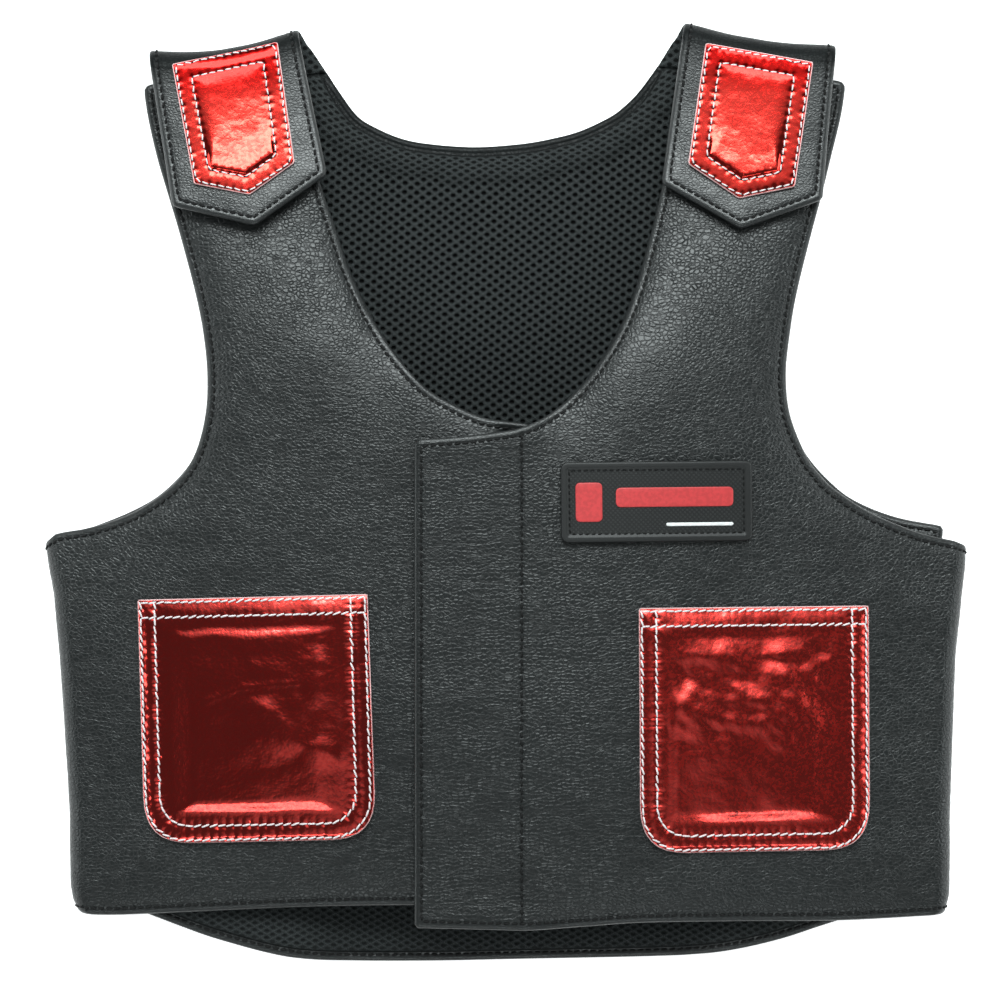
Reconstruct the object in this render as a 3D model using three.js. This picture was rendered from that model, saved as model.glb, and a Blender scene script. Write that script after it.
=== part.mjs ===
// Bull riding vest lying on its back: millimetres, +Z up from the floor, +Y towards the neck,
// +X towards the wearer's left. Every soft piece is a sheet of points with a top and a bottom face.
import * as THREE from "three";

// Thicknesses
const PAD = 9; // foam panel in the middle of the chest
const SIDE_PAD = 6; // the same panel at the side fold and at the shoulder end
const WING = 5; // the part of a front panel that lies under the back
const FLAP = 3.4; // overlap at the centre front, without foam
const TAB = 3.4; // the part of the right panel that lies under the left one
const BACK_PAD = 8;
const BACK_SIDE = 4.5; // back panel at its side wings
const STRAP = 6;
const LINING = 1.6;
const TAPE = 1.5; // hook and loop pressed together
const FOIL = 1.2;
const LABEL = 1.6;
const GAP = 0.3; // between pieces that touch
const LAID_GAP = 0.5; // under pieces laid on a curved panel or strap
const ROLL = 0.25; // share of its thickness that a panel loses on each face along its edge

// Heights of the lying vest
const BACK_LIFT = WING + TAPE + 2 * GAP; // underside of the back where it lies on the wings
const SIDE_TOP = BACK_LIFT + BACK_SIDE + LAID_GAP + LINING + SIDE_PAD + 1;
const SHOULDER_TOP = BACK_PAD + LAID_GAP + LINING + SIDE_PAD + 1.5;
const ARCH = 25; // how far the middle of the front stands above its sides
const ARCH_POWER = 1.2; // roundness of the arch across
const ARCH_SHOULDER = { from: 60, over: 176 }; // the arch sinks towards the shoulder
const ARCH_HEM = { from: -110, over: 130, loss: 0.25 }; // and a little towards the hem
const SHOULDER_SINK = { from: 100, over: 100 }; // from the height at the side to that at the shoulder
const LAP_STEP = FLAP + TAPE + 3.5 * GAP; // outside of the left panel above the right one, at the overlap
const LAP_FADE = { x: 60, overX: 90, y: 60, overY: 120 }; // where the left panel comes level with the right
const TAB_DROP = 4.2; // top of the tab below the outside of the right panel
const TAB_EDGE = { x: -10, overX: 10, y: 34, overY: 6 }; // where the right panel thins to its tab
const FLAP_EDGE = { x: 4, overX: 26, y: 44, overY: 20 }; // where the left panel thickens from its flap
const FRONT_THINS = { side: 185, overSide: 60, shoulder: 150, overShoulder: 50 };
const BACK_THINS = { side: 185, overSide: 50, y: -10, overY: 50 };

// Plan
const FOLD_X = 249.5; // where the front panels begin to turn round the sides
const WING_WIDTH = 120;
const WING_TAPER = 0.1; // share of its height that a wing loses at its free end
const BEND_STEPS = 6; // of the side fold
const STRAP_BEND_STEPS = 8;
const WING_STEPS = 4;
const SEAM_LENGTH = 14.2; // strap behind the shoulder, from its seam to the start of the fold
const STRAP_ROWS = [0.3, 0.6, 0.85, 1]; // shares of the strap's length on the front

// Outlines, from the hem up. A front section runs from the inner edge to the outer edge; lap marks the
// sections with the overlap, and side those that go on round the side fold.
const FRONT_COLUMNS = ["outerX", "outerY", "innerX", "innerY", "lap", "side"];
const RIGHT_FRONT = table(FRONT_COLUMNS, [
  [-237, -238, 56, -230, 1, 1],
  [-244, -227, 56, -215, 1, 1],
  [-246, -181, 56, -165, 1, 1],
  [-249, -136, 56, -115, 1, 1],
  [-252, -91, 56, -65, 1, 1],
  [-255, -57, 56, -30, 1, 1],
  [-259, -33, 56, -8, 1, 1],
  [-246, -22, 56, 6, 1, 0],
  [-220, -15, 56, 17, 1, 0],
  [-195, -1, 56, 27, 1, 0],
  [-184, 9, 30, 34, 1, 0],
  [-175, 22, 2, 40, 0, 0],
  [-169, 44, -27, 49, 0, 0],
  [-168, 67, -45, 60, 0, 0],
  [-170, 90, -61, 78, 0, 0],
  [-175, 112, -75, 100, 0, 0],
  [-184, 146, -92, 137, 0, 0],
  [-191, 169, -103, 168, 0, 0],
  [-197, 191, -108, 191, 0, 0],
  [-202, 214, -113, 217, 0, 0],
  [-203, 228, -118, 239, 0, 0],
]);
const LEFT_FRONT = table(FRONT_COLUMNS, [
  [246, -239, -51, -244, 1, 1],
  [250, -225, -51, -228, 1, 1],
  [251, -181, -51, -180, 1, 1],
  [253, -136, -51, -133, 1, 1],
  [254, -91, -51, -86, 1, 1],
  [257, -57, -51, -45, 1, 1],
  [260, -33, -51, -15, 1, 1],
  [248, -25, -51, 5, 1, 0],
  [227, -20, -51, 17, 1, 0],
  [205, -10, -51, 28, 1, 0],
  [186, 2, -23, 31, 1, 0],
  [177, 10, 0, 35, 0, 0],
  [169, 22, 12, 40, 0, 0],
  [160, 44, 21, 49, 0, 0],
  [158, 67, 35, 62, 0, 0],
  [160, 90, 51, 79, 0, 0],
  [164, 112, 65, 101, 0, 0],
  [172, 146, 79, 134, 0, 0],
  [179, 169, 87, 165, 0, 0],
  [184, 191, 94, 190, 0, 0],
  [189, 214, 98, 215, 0, 0],
  [191, 229, 102, 241, 0, 0],
]);
const LAP_STATIONS = { right: [0, 28, 56, 66], left: [0, 27, 55, 81] }; // from the inner edge
const FRONT_STEPS = 7; // even steps over the rest of a section

// A back section runs from the right edge of the wearer to the left; neck marks those split by the neckline.
const BACK_EDGES = ["rightX", "rightY", "leftX", "leftY"];
const NECK_EDGES = ["neck", "neckRightX", "neckRightY", "neckLeftX", "neckLeftY"];
const BACK = table([...BACK_EDGES, ...NECK_EDGES], [
  [-112, -264, 108, -262, 0],
  [-152, -256, 150, -254, 0],
  [-187, -245, 186, -243, 0],
  [-211, -235, 213, -234, 0],
  [-228, -221, 233, -221, 0],
  [-233, -204, 238, -204, 0],
  [-235, -160, 239, -160, 0],
  [-238, -115, 241, -115, 0],
  [-241, -75, 243, -75, 0],
  [-244, -47, 245, -47, 0],
  [-249, -25, 247, -21, 0],
  [-237, -20, 222, -14, 0],
  [-212, -10, 200, -5, 0],
  [-194, 1, 186, 5, 0],
  [-178, 19, 171, 22, 0],
  [-168, 44, 160, 44, 0],
  [-167, 67, 157, 67, 0],
  [-169, 90, 159, 90, 0],
  [-174, 112, 163, 112, 0],
  [-183, 146, 172, 146, 0],
  [-190, 169, 178, 169, 0],
  [-196, 188, 182, 188, 0],
  [-198, 197, 184, 197, 1, -38, 197.5, 5, 197.5],
  [-198.5, 205, 184.5, 205, 2, -67, 204.5, 42, 206],
  [-198, 214, 184, 215, 2, -84, 214.5, 60, 214.5],
  [-195.8, 222.6, 181.4, 226.2, 2, -100, 236, 84.6, 239.8],
]);
const BACK_PART_STEPS = 5; // steps from an edge to the neck, and across the neck
const NECK_SHARES = [0.36, 0.64]; // where the neck's columns run below the neckline
const LINING_INSET = 6;
const LIFT = { x: 85, overX: 40, y: -30, overY: 55 }; // where the back leaves the floor to lie on the wings

// Straps: the ends of the fold over the shoulder, and lengths from there to the corners of the pointed end
const STRAP_FOLD = ["side", "outerX", "outerY", "innerX", "innerY"];
const STRAP_END = ["outerLength", "tipLength", "innerLength", "tipShare", "flare"];
const STRAPS = table([...STRAP_FOLD, ...STRAP_END], [
  ["right", -199.6, 249.6, -117.6, 261.1, 88, 102.5, 81, 0.53, 14],
  ["left", 185.2, 253.2, 101.2, 265.1, 87, 109, 90, 0.44, 13],
]);
// Patches on the straps: across from the strap's outer edge, along from the end of the fold
const PATCH_SIDES = ["side", "outer", "inner", "topOuter", "topInner"];
const PATCH_END = ["endOuter", "endInner", "tip", "tipAcross"];
const PATCHES = table([...PATCH_SIDES, ...PATCH_END], [
  ["right", 12, 71, -4.7, -9.4, 64, 59, 74.5, 43],
  ["left", 11, 71, -0.8, -3.2, 67, 65, 79, 41],
]);
const PATCH_RAISE = 1.6;
const PATCH_MARGIN = 10.5; // from the patch's edge to its raised middle

// Pockets: middle of the top edge, and turn in degrees
const POCKETS = table(["side", "x", "y", "turn"], [
  ["right", -142.5, -58, 1.6],
  ["left", 139.5, -63.5, 0.4],
]);
const POCKET_WIDTH = 128.5;
const POCKET_HEIGHT = 137.5;
const POCKET_CORNER = 23;
const POCKET_MARGIN = 16; // from the edge to the raised rectangle
const POCKET_RAMP = 3;
const POCKET_RAISE = 1.8;

const LABEL_PLACE = { x: 84.5, y: -6, width: 105, height: 45.8, turn: 0.6 };
const LABEL_RIM = { width: 3.5, slope: 1, height: 0.8 };
const LABEL_SHARES = [-0.6, -0.3, 0, 0.3, 0.6]; // stations across the middle of the label

const FRONT_TAPE = { fromX: -44, toX: -12, fromY: -224, toY: 10 };
const SIDE_TAPE = { fromX: 150, toX: 190, fromY: -195, toY: -75, corner: 5 };
const SHOULDER_TAPE = { fromAcross: 22, toAcross: 62, fromAlong: 14, toAlong: 54 };

const LEATHER = { color: 0x3a3d3e, roughness: 0.45, metalness: 0 };
const MESH = { color: 0x1b1d1d, roughness: 0.9, metalness: 0 };
const RED_FOIL = { color: 0xb3201a, roughness: 0.2, metalness: 1 };
const RUBBER = { color: 0x242626, roughness: 0.6, metalness: 0 };
const HOOK_AND_LOOP = { color: 0x141414, roughness: 0.95, metalness: 0 };

// Plain helpers

function table(columns, rows) {
  return rows.map((row) => Object.fromEntries(columns.map((name, i) => [name, row[i]])));
}

function mix(a, b, t) {
  return a + (b - a) * t;
}

function ease(value) {
  const t = Math.min(1, Math.max(0, value));
  return t * t * (3 - 2 * t);
}

function steps(from, to, count) {
  return Array.from({ length: count + 1 }, (_, i) => mix(from, to, i / count));
}

// Height of the outside of the right front panel over the plan
function frontHeight(x, y) {
  const share = Math.min(1, Math.abs(x) / FOLD_X);
  const across = Math.pow(1 - share * share, ARCH_POWER);
  const shoulder = 1 - ease((y - ARCH_SHOULDER.from) / ARCH_SHOULDER.over);
  const hem = 1 - ARCH_HEM.loss * ease((ARCH_HEM.from - y) / ARCH_HEM.over);
  const sink = ease((y - SHOULDER_SINK.from) / SHOULDER_SINK.over);
  return mix(SIDE_TOP, SHOULDER_TOP, sink) + ARCH * across * shoulder * hem;
}

// The left panel lies on the right one at the centre, and is level with it at the side and the shoulder
function outsideOf(side, x, y) {
  const lap = side === "left" ? LAP_STEP * (1 - ease((x - LAP_FADE.x) / LAP_FADE.overX)) : 0;
  return frontHeight(x, y) + lap * (1 - ease((y - LAP_FADE.y) / LAP_FADE.overY));
}

function frontThickness(x, y) {
  const towardsSide = ease((Math.abs(x) - FRONT_THINS.side) / FRONT_THINS.overSide);
  const towardsShoulder = ease((y - FRONT_THINS.shoulder) / FRONT_THINS.overShoulder);
  return mix(PAD, SIDE_PAD, Math.max(towardsSide, towardsShoulder));
}

// Underside of the back, which lies on the floor in the middle and on the wings at the sides
function backUnderside(x, y) {
  return BACK_LIFT * ease((Math.abs(x) - LIFT.x) / LIFT.overX) * (1 - ease((y - LIFT.y) / LIFT.overY));
}

function backThickness(x, y) {
  const towardsSide = ease((Math.abs(x) - BACK_THINS.side) / BACK_THINS.overSide);
  return mix(BACK_PAD, BACK_SIDE, towardsSide * (1 - ease((y - BACK_THINS.y) / BACK_THINS.overY)));
}

// A closed solid from a grid of points, null where there is nothing. place gives the top and bottom of a
// point, and is told whether the point is on the edge. flip is for grids that turn clockwise.
function sheetSolid(grid, place, flip = false) {
  const points = [];
  const number = grid.map((row) => row.map((point) => (point ? points.push(point) - 1 : -1)));
  const quads = [];
  for (let r = 0; r + 1 < number.length; r++) {
    for (let c = 0; c + 1 < number[r].length; c++) {
      const quad = [number[r][c], number[r][c + 1], number[r + 1][c + 1], number[r + 1][c]];
      if (quad.every((i) => i >= 0)) quads.push(flip ? quad.reverse() : quad);
    }
  }
  const sides = quads.flatMap((quad) => quad.map((a, i) => [a, quad[(i + 1) % 4]]));
  const taken = new Set(sides.map(([a, b]) => `${a} ${b}`));
  const free = sides.filter(([a, b]) => !taken.has(`${b} ${a}`));
  const onEdge = new Set(free.flat());
  const faces = points.map((point, i) => place(point, onEdge.has(i)));
  const under = points.length;
  const index = [];
  for (const [a, b, c, d] of quads) {
    index.push(a, b, c, a, c, d);
    index.push(under + a, under + c, under + b, under + a, under + d, under + c);
  }
  for (const [a, b] of free) {
    index.push(a, under + a, under + b, a, under + b, b);
  }
  const tops = faces.map((face) => face.top);
  const bottoms = faces.map((face) => face.bottom);
  const geometry = new THREE.BufferGeometry().setFromPoints([...tops, ...bottoms]);
  geometry.setIndex(index);
  geometry.computeVertexNormals();
  return geometry;
}

// The same grid with its edge points moved inwards along the line to a neighbour that isn't on the edge.
// A moved point keeps both ends of that line and its share of the way along it.
function insetGrid(grid, distance) {
  const straight = [[1, 0], [-1, 0], [0, 1], [0, -1]];
  const slanted = [[1, 1], [1, -1], [-1, 1], [-1, -1]];
  const around = [...straight, ...slanted];
  const at = (r, c) => grid[r]?.[c] ?? null;
  const isInner = (r, c) => at(r, c) && around.every(([i, j]) => at(r + i, c + j));
  return grid.map((row, r) =>
    row.map((point, c) => {
      if (!point || isInner(r, c)) return point;
      const step = around.find(([i, j]) => isInner(r + i, c + j));
      if (!step) return null;
      const inner = at(r + step[0], c + step[1]);
      const share = distance / Math.hypot(inner.x - point.x, inner.y - point.y);
      const moved = { x: mix(point.x, inner.x, share), y: mix(point.y, inner.y, share) };
      return { ...moved, ends: [point, inner], share };
    }),
  );
}

function mesh(name, geometry, look) {
  const piece = new THREE.Mesh(geometry, new THREE.MeshStandardMaterial(look));
  piece.name = name;
  return piece;
}

// A plate that follows the outside of a front panel, from height low to height high above it
function laidPlate(side, grid, low, high) {
  const lift = (point, h) => new THREE.Vector3(point.x, point.y, outsideOf(side, point.x, point.y) + h);
  return sheetSolid(grid, (point) => ({ top: lift(point, high(point)), bottom: lift(point, low(point)) }));
}

// Front panels

function frontGrid(side, sections) {
  const sign = side === "left" ? 1 : -1;
  return sections.map((s) => {
    const radius = SIDE_TOP / 2;
    const endX = s.side ? s.outerX - sign * radius : s.outerX;
    const length = Math.hypot(endX - s.innerX, s.outerY - s.innerY);
    const stations = LAP_STATIONS[side].map((distance) => distance / length);
    const shares = s.lap
      ? [...stations.slice(0, -1), ...steps(stations.at(-1), 1, FRONT_STEPS)]
      : steps(0, 1, FRONT_STEPS + stations.length - 1);
    const flat = shares.map((t) => ({ x: mix(s.innerX, endX, t), y: mix(s.innerY, s.outerY, t) }));
    const bend = steps(0, Math.PI, BEND_STEPS).slice(1).map((turn) => ({ x: endX, y: s.outerY, turn }));
    const wingTop = sections.findLast((section) => section.side).outerY;
    const middleY = mix(sections[0].outerY, wingTop, 0.5);
    const wing = steps(0, 1, WING_STEPS).slice(1).map((t) => ({
      x: endX - sign * WING_WIDTH * t,
      y: mix(s.outerY, middleY, WING_TAPER * t * t),
      turn: Math.PI,
    }));
    return [...flat, ...[...bend, ...wing].map((point) => (s.side ? point : null))];
  });
}

// Bottom and top of a front panel below and above the outside height, with its thin overlap
function frontFaces(side, { x, y }) {
  const thick = frontThickness(x, y);
  if (side === "right") {
    const tab = ease((x - TAB_EDGE.x) / TAB_EDGE.overX) * (1 - ease((y - TAB_EDGE.y) / TAB_EDGE.overY));
    return { top: -TAB_DROP * tab, bottom: mix(-thick, -TAB_DROP - TAB, tab) };
  }
  const flapX = 1 - ease((x - FLAP_EDGE.x) / FLAP_EDGE.overX);
  const flap = flapX * (1 - ease((y - FLAP_EDGE.y) / FLAP_EDGE.overY));
  return { top: 0, bottom: mix(-thick, -FLAP, flap) };
}

function frontPanel(side, sections) {
  const sign = side === "left" ? 1 : -1;
  const place = (point, edge) => {
    const { x, y, turn } = point;
    if (turn) {
      const radius = SIDE_TOP / 2;
      const thick = mix(SIDE_PAD, WING, turn / Math.PI);
      const roll = edge ? ROLL * thick : 0;
      const outwards = (r) => [x + sign * r * Math.sin(turn), y, radius + r * Math.cos(turn)];
      return {
        top: new THREE.Vector3(...outwards(radius)),
        bottom: new THREE.Vector3(...outwards(radius - thick + 2 * roll)),
      };
    }
    const face = frontFaces(side, point);
    const roll = edge ? ROLL * (face.top - face.bottom) : 0;
    const height = outsideOf(side, x, y);
    return {
      top: new THREE.Vector3(x, y, height + face.top - roll),
      bottom: new THREE.Vector3(x, y, height + face.bottom + roll),
    };
  };
  return mesh(`front_panel_${side}`, sheetSolid(frontGrid(side, sections), place, side === "right"), LEATHER);
}

// Back panel and its lining

function backGrid() {
  const part = (from, to) => steps(0, 1, BACK_PART_STEPS).map((t) => ({
    x: mix(from.x, to.x, t),
    y: mix(from.y, to.y, t),
  }));
  return BACK.map((s) => {
    const right = { x: s.rightX, y: s.rightY };
    const left = { x: s.leftX, y: s.leftY };
    const along = (t) => ({ x: mix(right.x, left.x, t), y: mix(right.y, left.y, t) });
    const neckRight = s.neck ? { x: s.neckRightX, y: s.neckRightY } : along(NECK_SHARES[0]);
    const neckLeft = s.neck ? { x: s.neckLeftX, y: s.neckLeftY } : along(NECK_SHARES[1]);
    const neck = part(neckRight, neckLeft).slice(1, -1).map((point) => (s.neck === 2 ? null : point));
    return [...part(right, neckRight), ...neck, ...part(neckLeft, left)];
  });
}

function backPanel() {
  const place = ({ x, y }, edge) => {
    const thick = backThickness(x, y);
    const roll = edge ? ROLL * thick : 0;
    const floor = backUnderside(x, y);
    return {
      top: new THREE.Vector3(x, y, floor + thick - roll),
      bottom: new THREE.Vector3(x, y, floor + roll),
    };
  };
  return mesh("back_panel", sheetSolid(backGrid(), place), LEATHER);
}

function backLining() {
  const backTop = ({ x, y }) => backUnderside(x, y) + backThickness(x, y);
  const place = (point) => {
    const { x, y, ends, share } = point;
    const low = LAID_GAP + (ends ? mix(backTop(ends[0]), backTop(ends[1]), share) : backTop(point));
    return { top: new THREE.Vector3(x, y, low + LINING), bottom: new THREE.Vector3(x, y, low) };
  };
  return mesh("back_lining", sheetSolid(insetGrid(backGrid(), LINING_INSET), place), MESH);
}

// Straps. A point of a strap is given by its distance across from the outer edge, along its outside from the
// end of the fold, and out from its outside face.
function strapFrame(strap) {
  const outer = new THREE.Vector2(strap.outerX, strap.outerY);
  const across = new THREE.Vector2(strap.innerX, strap.innerY).sub(outer);
  const width = across.length();
  across.normalize();
  const turn = strap.side === "left" ? 1 : -1;
  const along = new THREE.Vector2(-turn * across.y, turn * across.x);
  const radius = (SHOULDER_TOP + TAPE + 2 * GAP + STRAP) / 2;
  const plan = (a, b) => outer.clone().addScaledVector(across, a).addScaledVector(along, b);
  const point = (a, distance, out) => {
    const back = -distance - Math.PI * radius;
    if (distance >= 0) {
      const { x, y } = plan(a, radius + distance);
      return new THREE.Vector3(x, y, frontHeight(x, y) + TAPE + 2 * GAP + STRAP + out);
    }
    if (back >= 0) {
      const { x, y } = plan(a, radius + back);
      return new THREE.Vector3(x, y, -out);
    }
    const angle = -distance / radius;
    const { x, y } = plan(a, radius - (radius + out) * Math.sin(angle));
    return new THREE.Vector3(x, y, radius + (radius + out) * Math.cos(angle));
  };
  const corner = (share) =>
    share < strap.tipShare
      ? mix(strap.outerLength, strap.tipLength, share / strap.tipShare)
      : mix(strap.tipLength, strap.innerLength, (share - strap.tipShare) / (1 - strap.tipShare));
  return { width, radius, point, end: (share) => corner(share) - radius };
}

function shoulderStrap(strap) {
  const { width, radius, point, end } = strapFrame(strap);
  const foldLength = Math.PI * radius;
  const backLength = foldLength + SEAM_LENGTH - GAP;
  const besideTip = [-0.18, 0, 0.18].map((share) => strap.tipShare + share);
  const shares = [0, 0.18, ...besideTip, 0.84, 1];
  const behind = [-backLength, ...steps(-foldLength, 0, STRAP_BEND_STEPS)];
  const flare = (along) => strap.flare * ease(-2 * along / backLength - 1);
  const backRows = behind.map((along) =>
    shares.map((share) => ({ across: (width + flare(along)) * share, along })),
  );
  const frontRows = STRAP_ROWS.map((row) =>
    shares.map((share) => ({ across: width * share, along: end(share) * row })),
  );
  const grid = [...backRows, ...frontRows];
  const place = ({ across, along }, edge) => {
    const roll = edge ? ROLL * STRAP : 0;
    return { top: point(across, along, -roll), bottom: point(across, along, -STRAP + roll) };
  };
  return mesh(`shoulder_strap_${strap.side}`, sheetSolid(grid, place, strap.side === "right"), LEATHER);
}

function shoulderPatch(patch) {
  const { point } = strapFrame(STRAPS.find((strap) => strap.side === patch.side));
  const width = patch.inner - patch.outer;
  const tipAt = patch.tipAcross - patch.outer;
  const besideTip = [0.65 * tipAt, tipAt, mix(tipAt, width, 0.45)];
  const columns = [0, PATCH_MARGIN, ...besideTip, width - PATCH_MARGIN, width];
  const top = (a) => mix(patch.topOuter, patch.topInner, a / width);
  const end = (a) => {
    if (a < tipAt) return mix(patch.endOuter, patch.tip, a / tipAt);
    return mix(patch.tip, patch.endInner, (a - tipAt) / (width - tipAt));
  };
  // Rows by their share of the way down the raised middle, less or more than that way in the margins
  const rows = [-1, -0.5, 0, 0.33, 0.67, 1, 2];
  const along = (a, row) => {
    if (row < 0) return top(a) + PATCH_MARGIN * (1 + row);
    if (row > 1) return end(a);
    return mix(top(a) + PATCH_MARGIN, end(a) - PATCH_MARGIN, row);
  };
  const grid = rows.map((row) =>
    columns.map((a, c) => {
      const raised = row >= 0 && row <= 1 && c > 0 && c < columns.length - 1;
      return { across: patch.outer + a, along: along(a, row), raised };
    }),
  );
  const place = ({ across, along, raised }) => ({
    top: point(across, along, LAID_GAP + FOIL + (raised ? PATCH_RAISE : 0)),
    bottom: point(across, along, LAID_GAP),
  });
  return mesh(`shoulder_patch_${patch.side}`, sheetSolid(grid, place, patch.side === "right"), RED_FOIL);
}

function shoulderClosure(strap) {
  const { point } = strapFrame(strap);
  const across = steps(SHOULDER_TAPE.fromAcross, SHOULDER_TAPE.toAcross, 3);
  const along = steps(SHOULDER_TAPE.fromAlong, SHOULDER_TAPE.toAlong, 4);
  const grid = along.map((b) => across.map((a) => ({ a, b })));
  const out = -STRAP - GAP / 2;
  const place = ({ a, b }) => ({ top: point(a, b, out), bottom: point(a, b, out - TAPE) });
  const plate = sheetSolid(grid, place, strap.side === "right");
  return mesh(`shoulder_closure_${strap.side}`, plate, HOOK_AND_LOOP);
}

// Pieces laid on the front panels

function turned(place, u, v) {
  const angle = THREE.MathUtils.degToRad(place.turn);
  return {
    x: place.x + u * Math.cos(angle) - v * Math.sin(angle),
    y: place.y + u * Math.sin(angle) + v * Math.cos(angle),
  };
}

function pocket(place) {
  const half = POCKET_WIDTH / 2;
  const ramp = POCKET_MARGIN + POCKET_RAMP; // the raised rectangle is full height this far in
  const lower = [0, 0.08 * POCKET_CORNER, 0.3 * POCKET_CORNER, POCKET_MARGIN, ramp, POCKET_CORNER];
  const upper = [POCKET_HEIGHT - ramp, POCKET_HEIGHT - POCKET_MARGIN, POCKET_HEIGHT];
  const heights = [...lower, ...steps(POCKET_CORNER, upper[0], 3).slice(1, -1), ...upper];
  const rightShares = [0.25, 1 - ramp / half, 1 - POCKET_MARGIN / half, 1];
  const shares = [...rightShares.map((share) => -share).reverse(), ...rightShares];
  const isRaised = (share, height) =>
    Math.abs(share) <= 1 - ramp / half && height >= ramp && height <= POCKET_HEIGHT - ramp;
  const grid = heights.map((height) => {
    const below = Math.max(0, POCKET_CORNER - height);
    const cut = POCKET_CORNER - Math.sqrt(POCKET_CORNER ** 2 - below ** 2);
    return shares.map((share) => ({
      ...turned(place, share * (half - cut), height - POCKET_HEIGHT),
      raise: isRaised(share, height) ? POCKET_RAISE : 0,
    }));
  });
  const low = ({ raise }) => LAID_GAP + raise;
  const high = ({ raise }) => LAID_GAP + FOIL + raise;
  return mesh(`pocket_${place.side}`, laidPlate(place.side, grid, low, high), RED_FOIL);
}

function chestLabel() {
  const { width, height } = LABEL_PLACE;
  const edges = (size) => {
    const half = size / 2;
    const rim = [half, half - LABEL_RIM.width, half - LABEL_RIM.width - LABEL_RIM.slope];
    return [...rim.map((v) => -v), ...LABEL_SHARES.map((share) => share * half), ...rim.reverse()];
  };
  const columns = edges(width);
  const rows = edges(height);
  const isRim = (i, list) => i < 2 || i > list.length - 3;
  const grid = rows.map((v, r) =>
    columns.map((u, c) => ({
      ...turned(LABEL_PLACE, u, v),
      rim: isRim(r, rows) || isRim(c, columns) ? LABEL_RIM.height : 0,
    })),
  );
  const plate = laidPlate("left", grid, () => LAID_GAP, ({ rim }) => LAID_GAP + LABEL + rim);
  return mesh("chest_label", plate, RUBBER);
}

function frontClosure() {
  const grid = steps(FRONT_TAPE.fromY, FRONT_TAPE.toY, 12).map((y) =>
    steps(FRONT_TAPE.fromX, FRONT_TAPE.toX, 3).map((x) => ({ x, y })),
  );
  const plate = laidPlate("right", grid, () => LAID_GAP, () => LAID_GAP + TAPE);
  return mesh("front_closure", plate, HOOK_AND_LOOP);
}

function sideClosure(side) {
  const sign = side === "left" ? 1 : -1;
  const { fromX, toX, fromY, toY, corner } = SIDE_TAPE;
  const outline = new THREE.Shape();
  outline.moveTo(fromX + corner, fromY);
  outline.lineTo(toX - corner, fromY);
  outline.quadraticCurveTo(toX, fromY, toX, fromY + corner);
  outline.lineTo(toX, toY - corner);
  outline.quadraticCurveTo(toX, toY, toX - corner, toY);
  outline.lineTo(fromX + corner, toY);
  outline.quadraticCurveTo(fromX, toY, fromX, toY - corner);
  outline.lineTo(fromX, fromY + corner);
  outline.quadraticCurveTo(fromX, fromY, fromX + corner, fromY);
  const plate = new THREE.ExtrudeGeometry(outline, { depth: TAPE, bevelEnabled: false, curveSegments: 4 });
  plate.translate(sign < 0 ? -fromX - toX : 0, 0, WING + GAP);
  return mesh(`side_closure_${side}`, plate, HOOK_AND_LOOP);
}

const vest = new THREE.Group();
vest.add(backPanel(), backLining());
vest.add(frontPanel("right", RIGHT_FRONT), frontPanel("left", LEFT_FRONT));
vest.add(...STRAPS.map(shoulderStrap), ...STRAPS.map(shoulderClosure));
vest.add(...PATCHES.map(shoulderPatch));
vest.add(...POCKETS.map(pocket), chestLabel(), frontClosure());
vest.add(...["right", "left"].map(sideClosure));

export default vest;
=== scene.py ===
import math

import bpy
import numpy as np
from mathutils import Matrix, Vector
from mathutils.geometry import delaunay_2d_cdt
from mathutils.kdtree import KDTree


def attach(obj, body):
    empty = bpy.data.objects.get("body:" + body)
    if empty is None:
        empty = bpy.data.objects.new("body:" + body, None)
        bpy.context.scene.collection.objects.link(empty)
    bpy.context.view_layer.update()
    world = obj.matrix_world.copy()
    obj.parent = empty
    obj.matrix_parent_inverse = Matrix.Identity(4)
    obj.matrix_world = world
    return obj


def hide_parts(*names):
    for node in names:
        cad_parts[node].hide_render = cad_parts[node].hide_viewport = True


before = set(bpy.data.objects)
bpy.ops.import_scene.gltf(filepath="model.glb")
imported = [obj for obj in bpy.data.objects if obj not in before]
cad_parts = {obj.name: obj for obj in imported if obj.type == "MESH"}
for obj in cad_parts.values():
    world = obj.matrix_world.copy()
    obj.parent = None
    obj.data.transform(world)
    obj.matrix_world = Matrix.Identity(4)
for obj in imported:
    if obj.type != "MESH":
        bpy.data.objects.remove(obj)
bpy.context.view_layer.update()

mm = 0.001  # shapes are worked out in millimetres and scaled when their mesh is made
print("frame loaded:", len(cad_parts), "nodes")


# Numbers and noise

def between(a, b, t):
    return a + (b - a) * t


def ease(value):
    t = np.clip(value, 0.0, 1.0)
    return t * t * (3.0 - 2.0 * t)


def begins(value, span):
    # 0 up to the span's first number, then rising to 1 over its second
    start, over = span
    return ease((value - start) / over)


def fading(value):
    return (1 - np.clip(value, 0, 1)) ** 2


def bell(value):
    return np.exp(-value ** 2)


def rounded(edge, radius):
    # profile of a rounded rim, from 0 at the edge to 1
    return np.sqrt(1 - fading(edge / radius))


def thinning(edge, reach):
    # profile of a soft edge, from 0 at the edge to 1
    return np.sqrt(np.clip(edge / reach, 0, 1))


def cloud(u, v, size, seed):
    # smooth noise from -1 to 1 on a seeded lattice, whose points are size mm apart
    lattice = np.random.default_rng(seed).uniform(-1, 1, (64, 64))
    a = np.asarray(u) / size + 640.0
    b = np.asarray(v) / size + 640.0
    i = np.floor(a).astype(int)
    j = np.floor(b).astype(int)
    s = ease(a - i)
    t = ease(b - j)
    low = between(lattice[i % 64, j % 64], lattice[(i + 1) % 64, j % 64], s)
    high = between(lattice[i % 64, (j + 1) % 64], lattice[(i + 1) % 64, (j + 1) % 64], s)
    return between(low, high, t)


# Lines and outlines on the flat pattern

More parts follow.
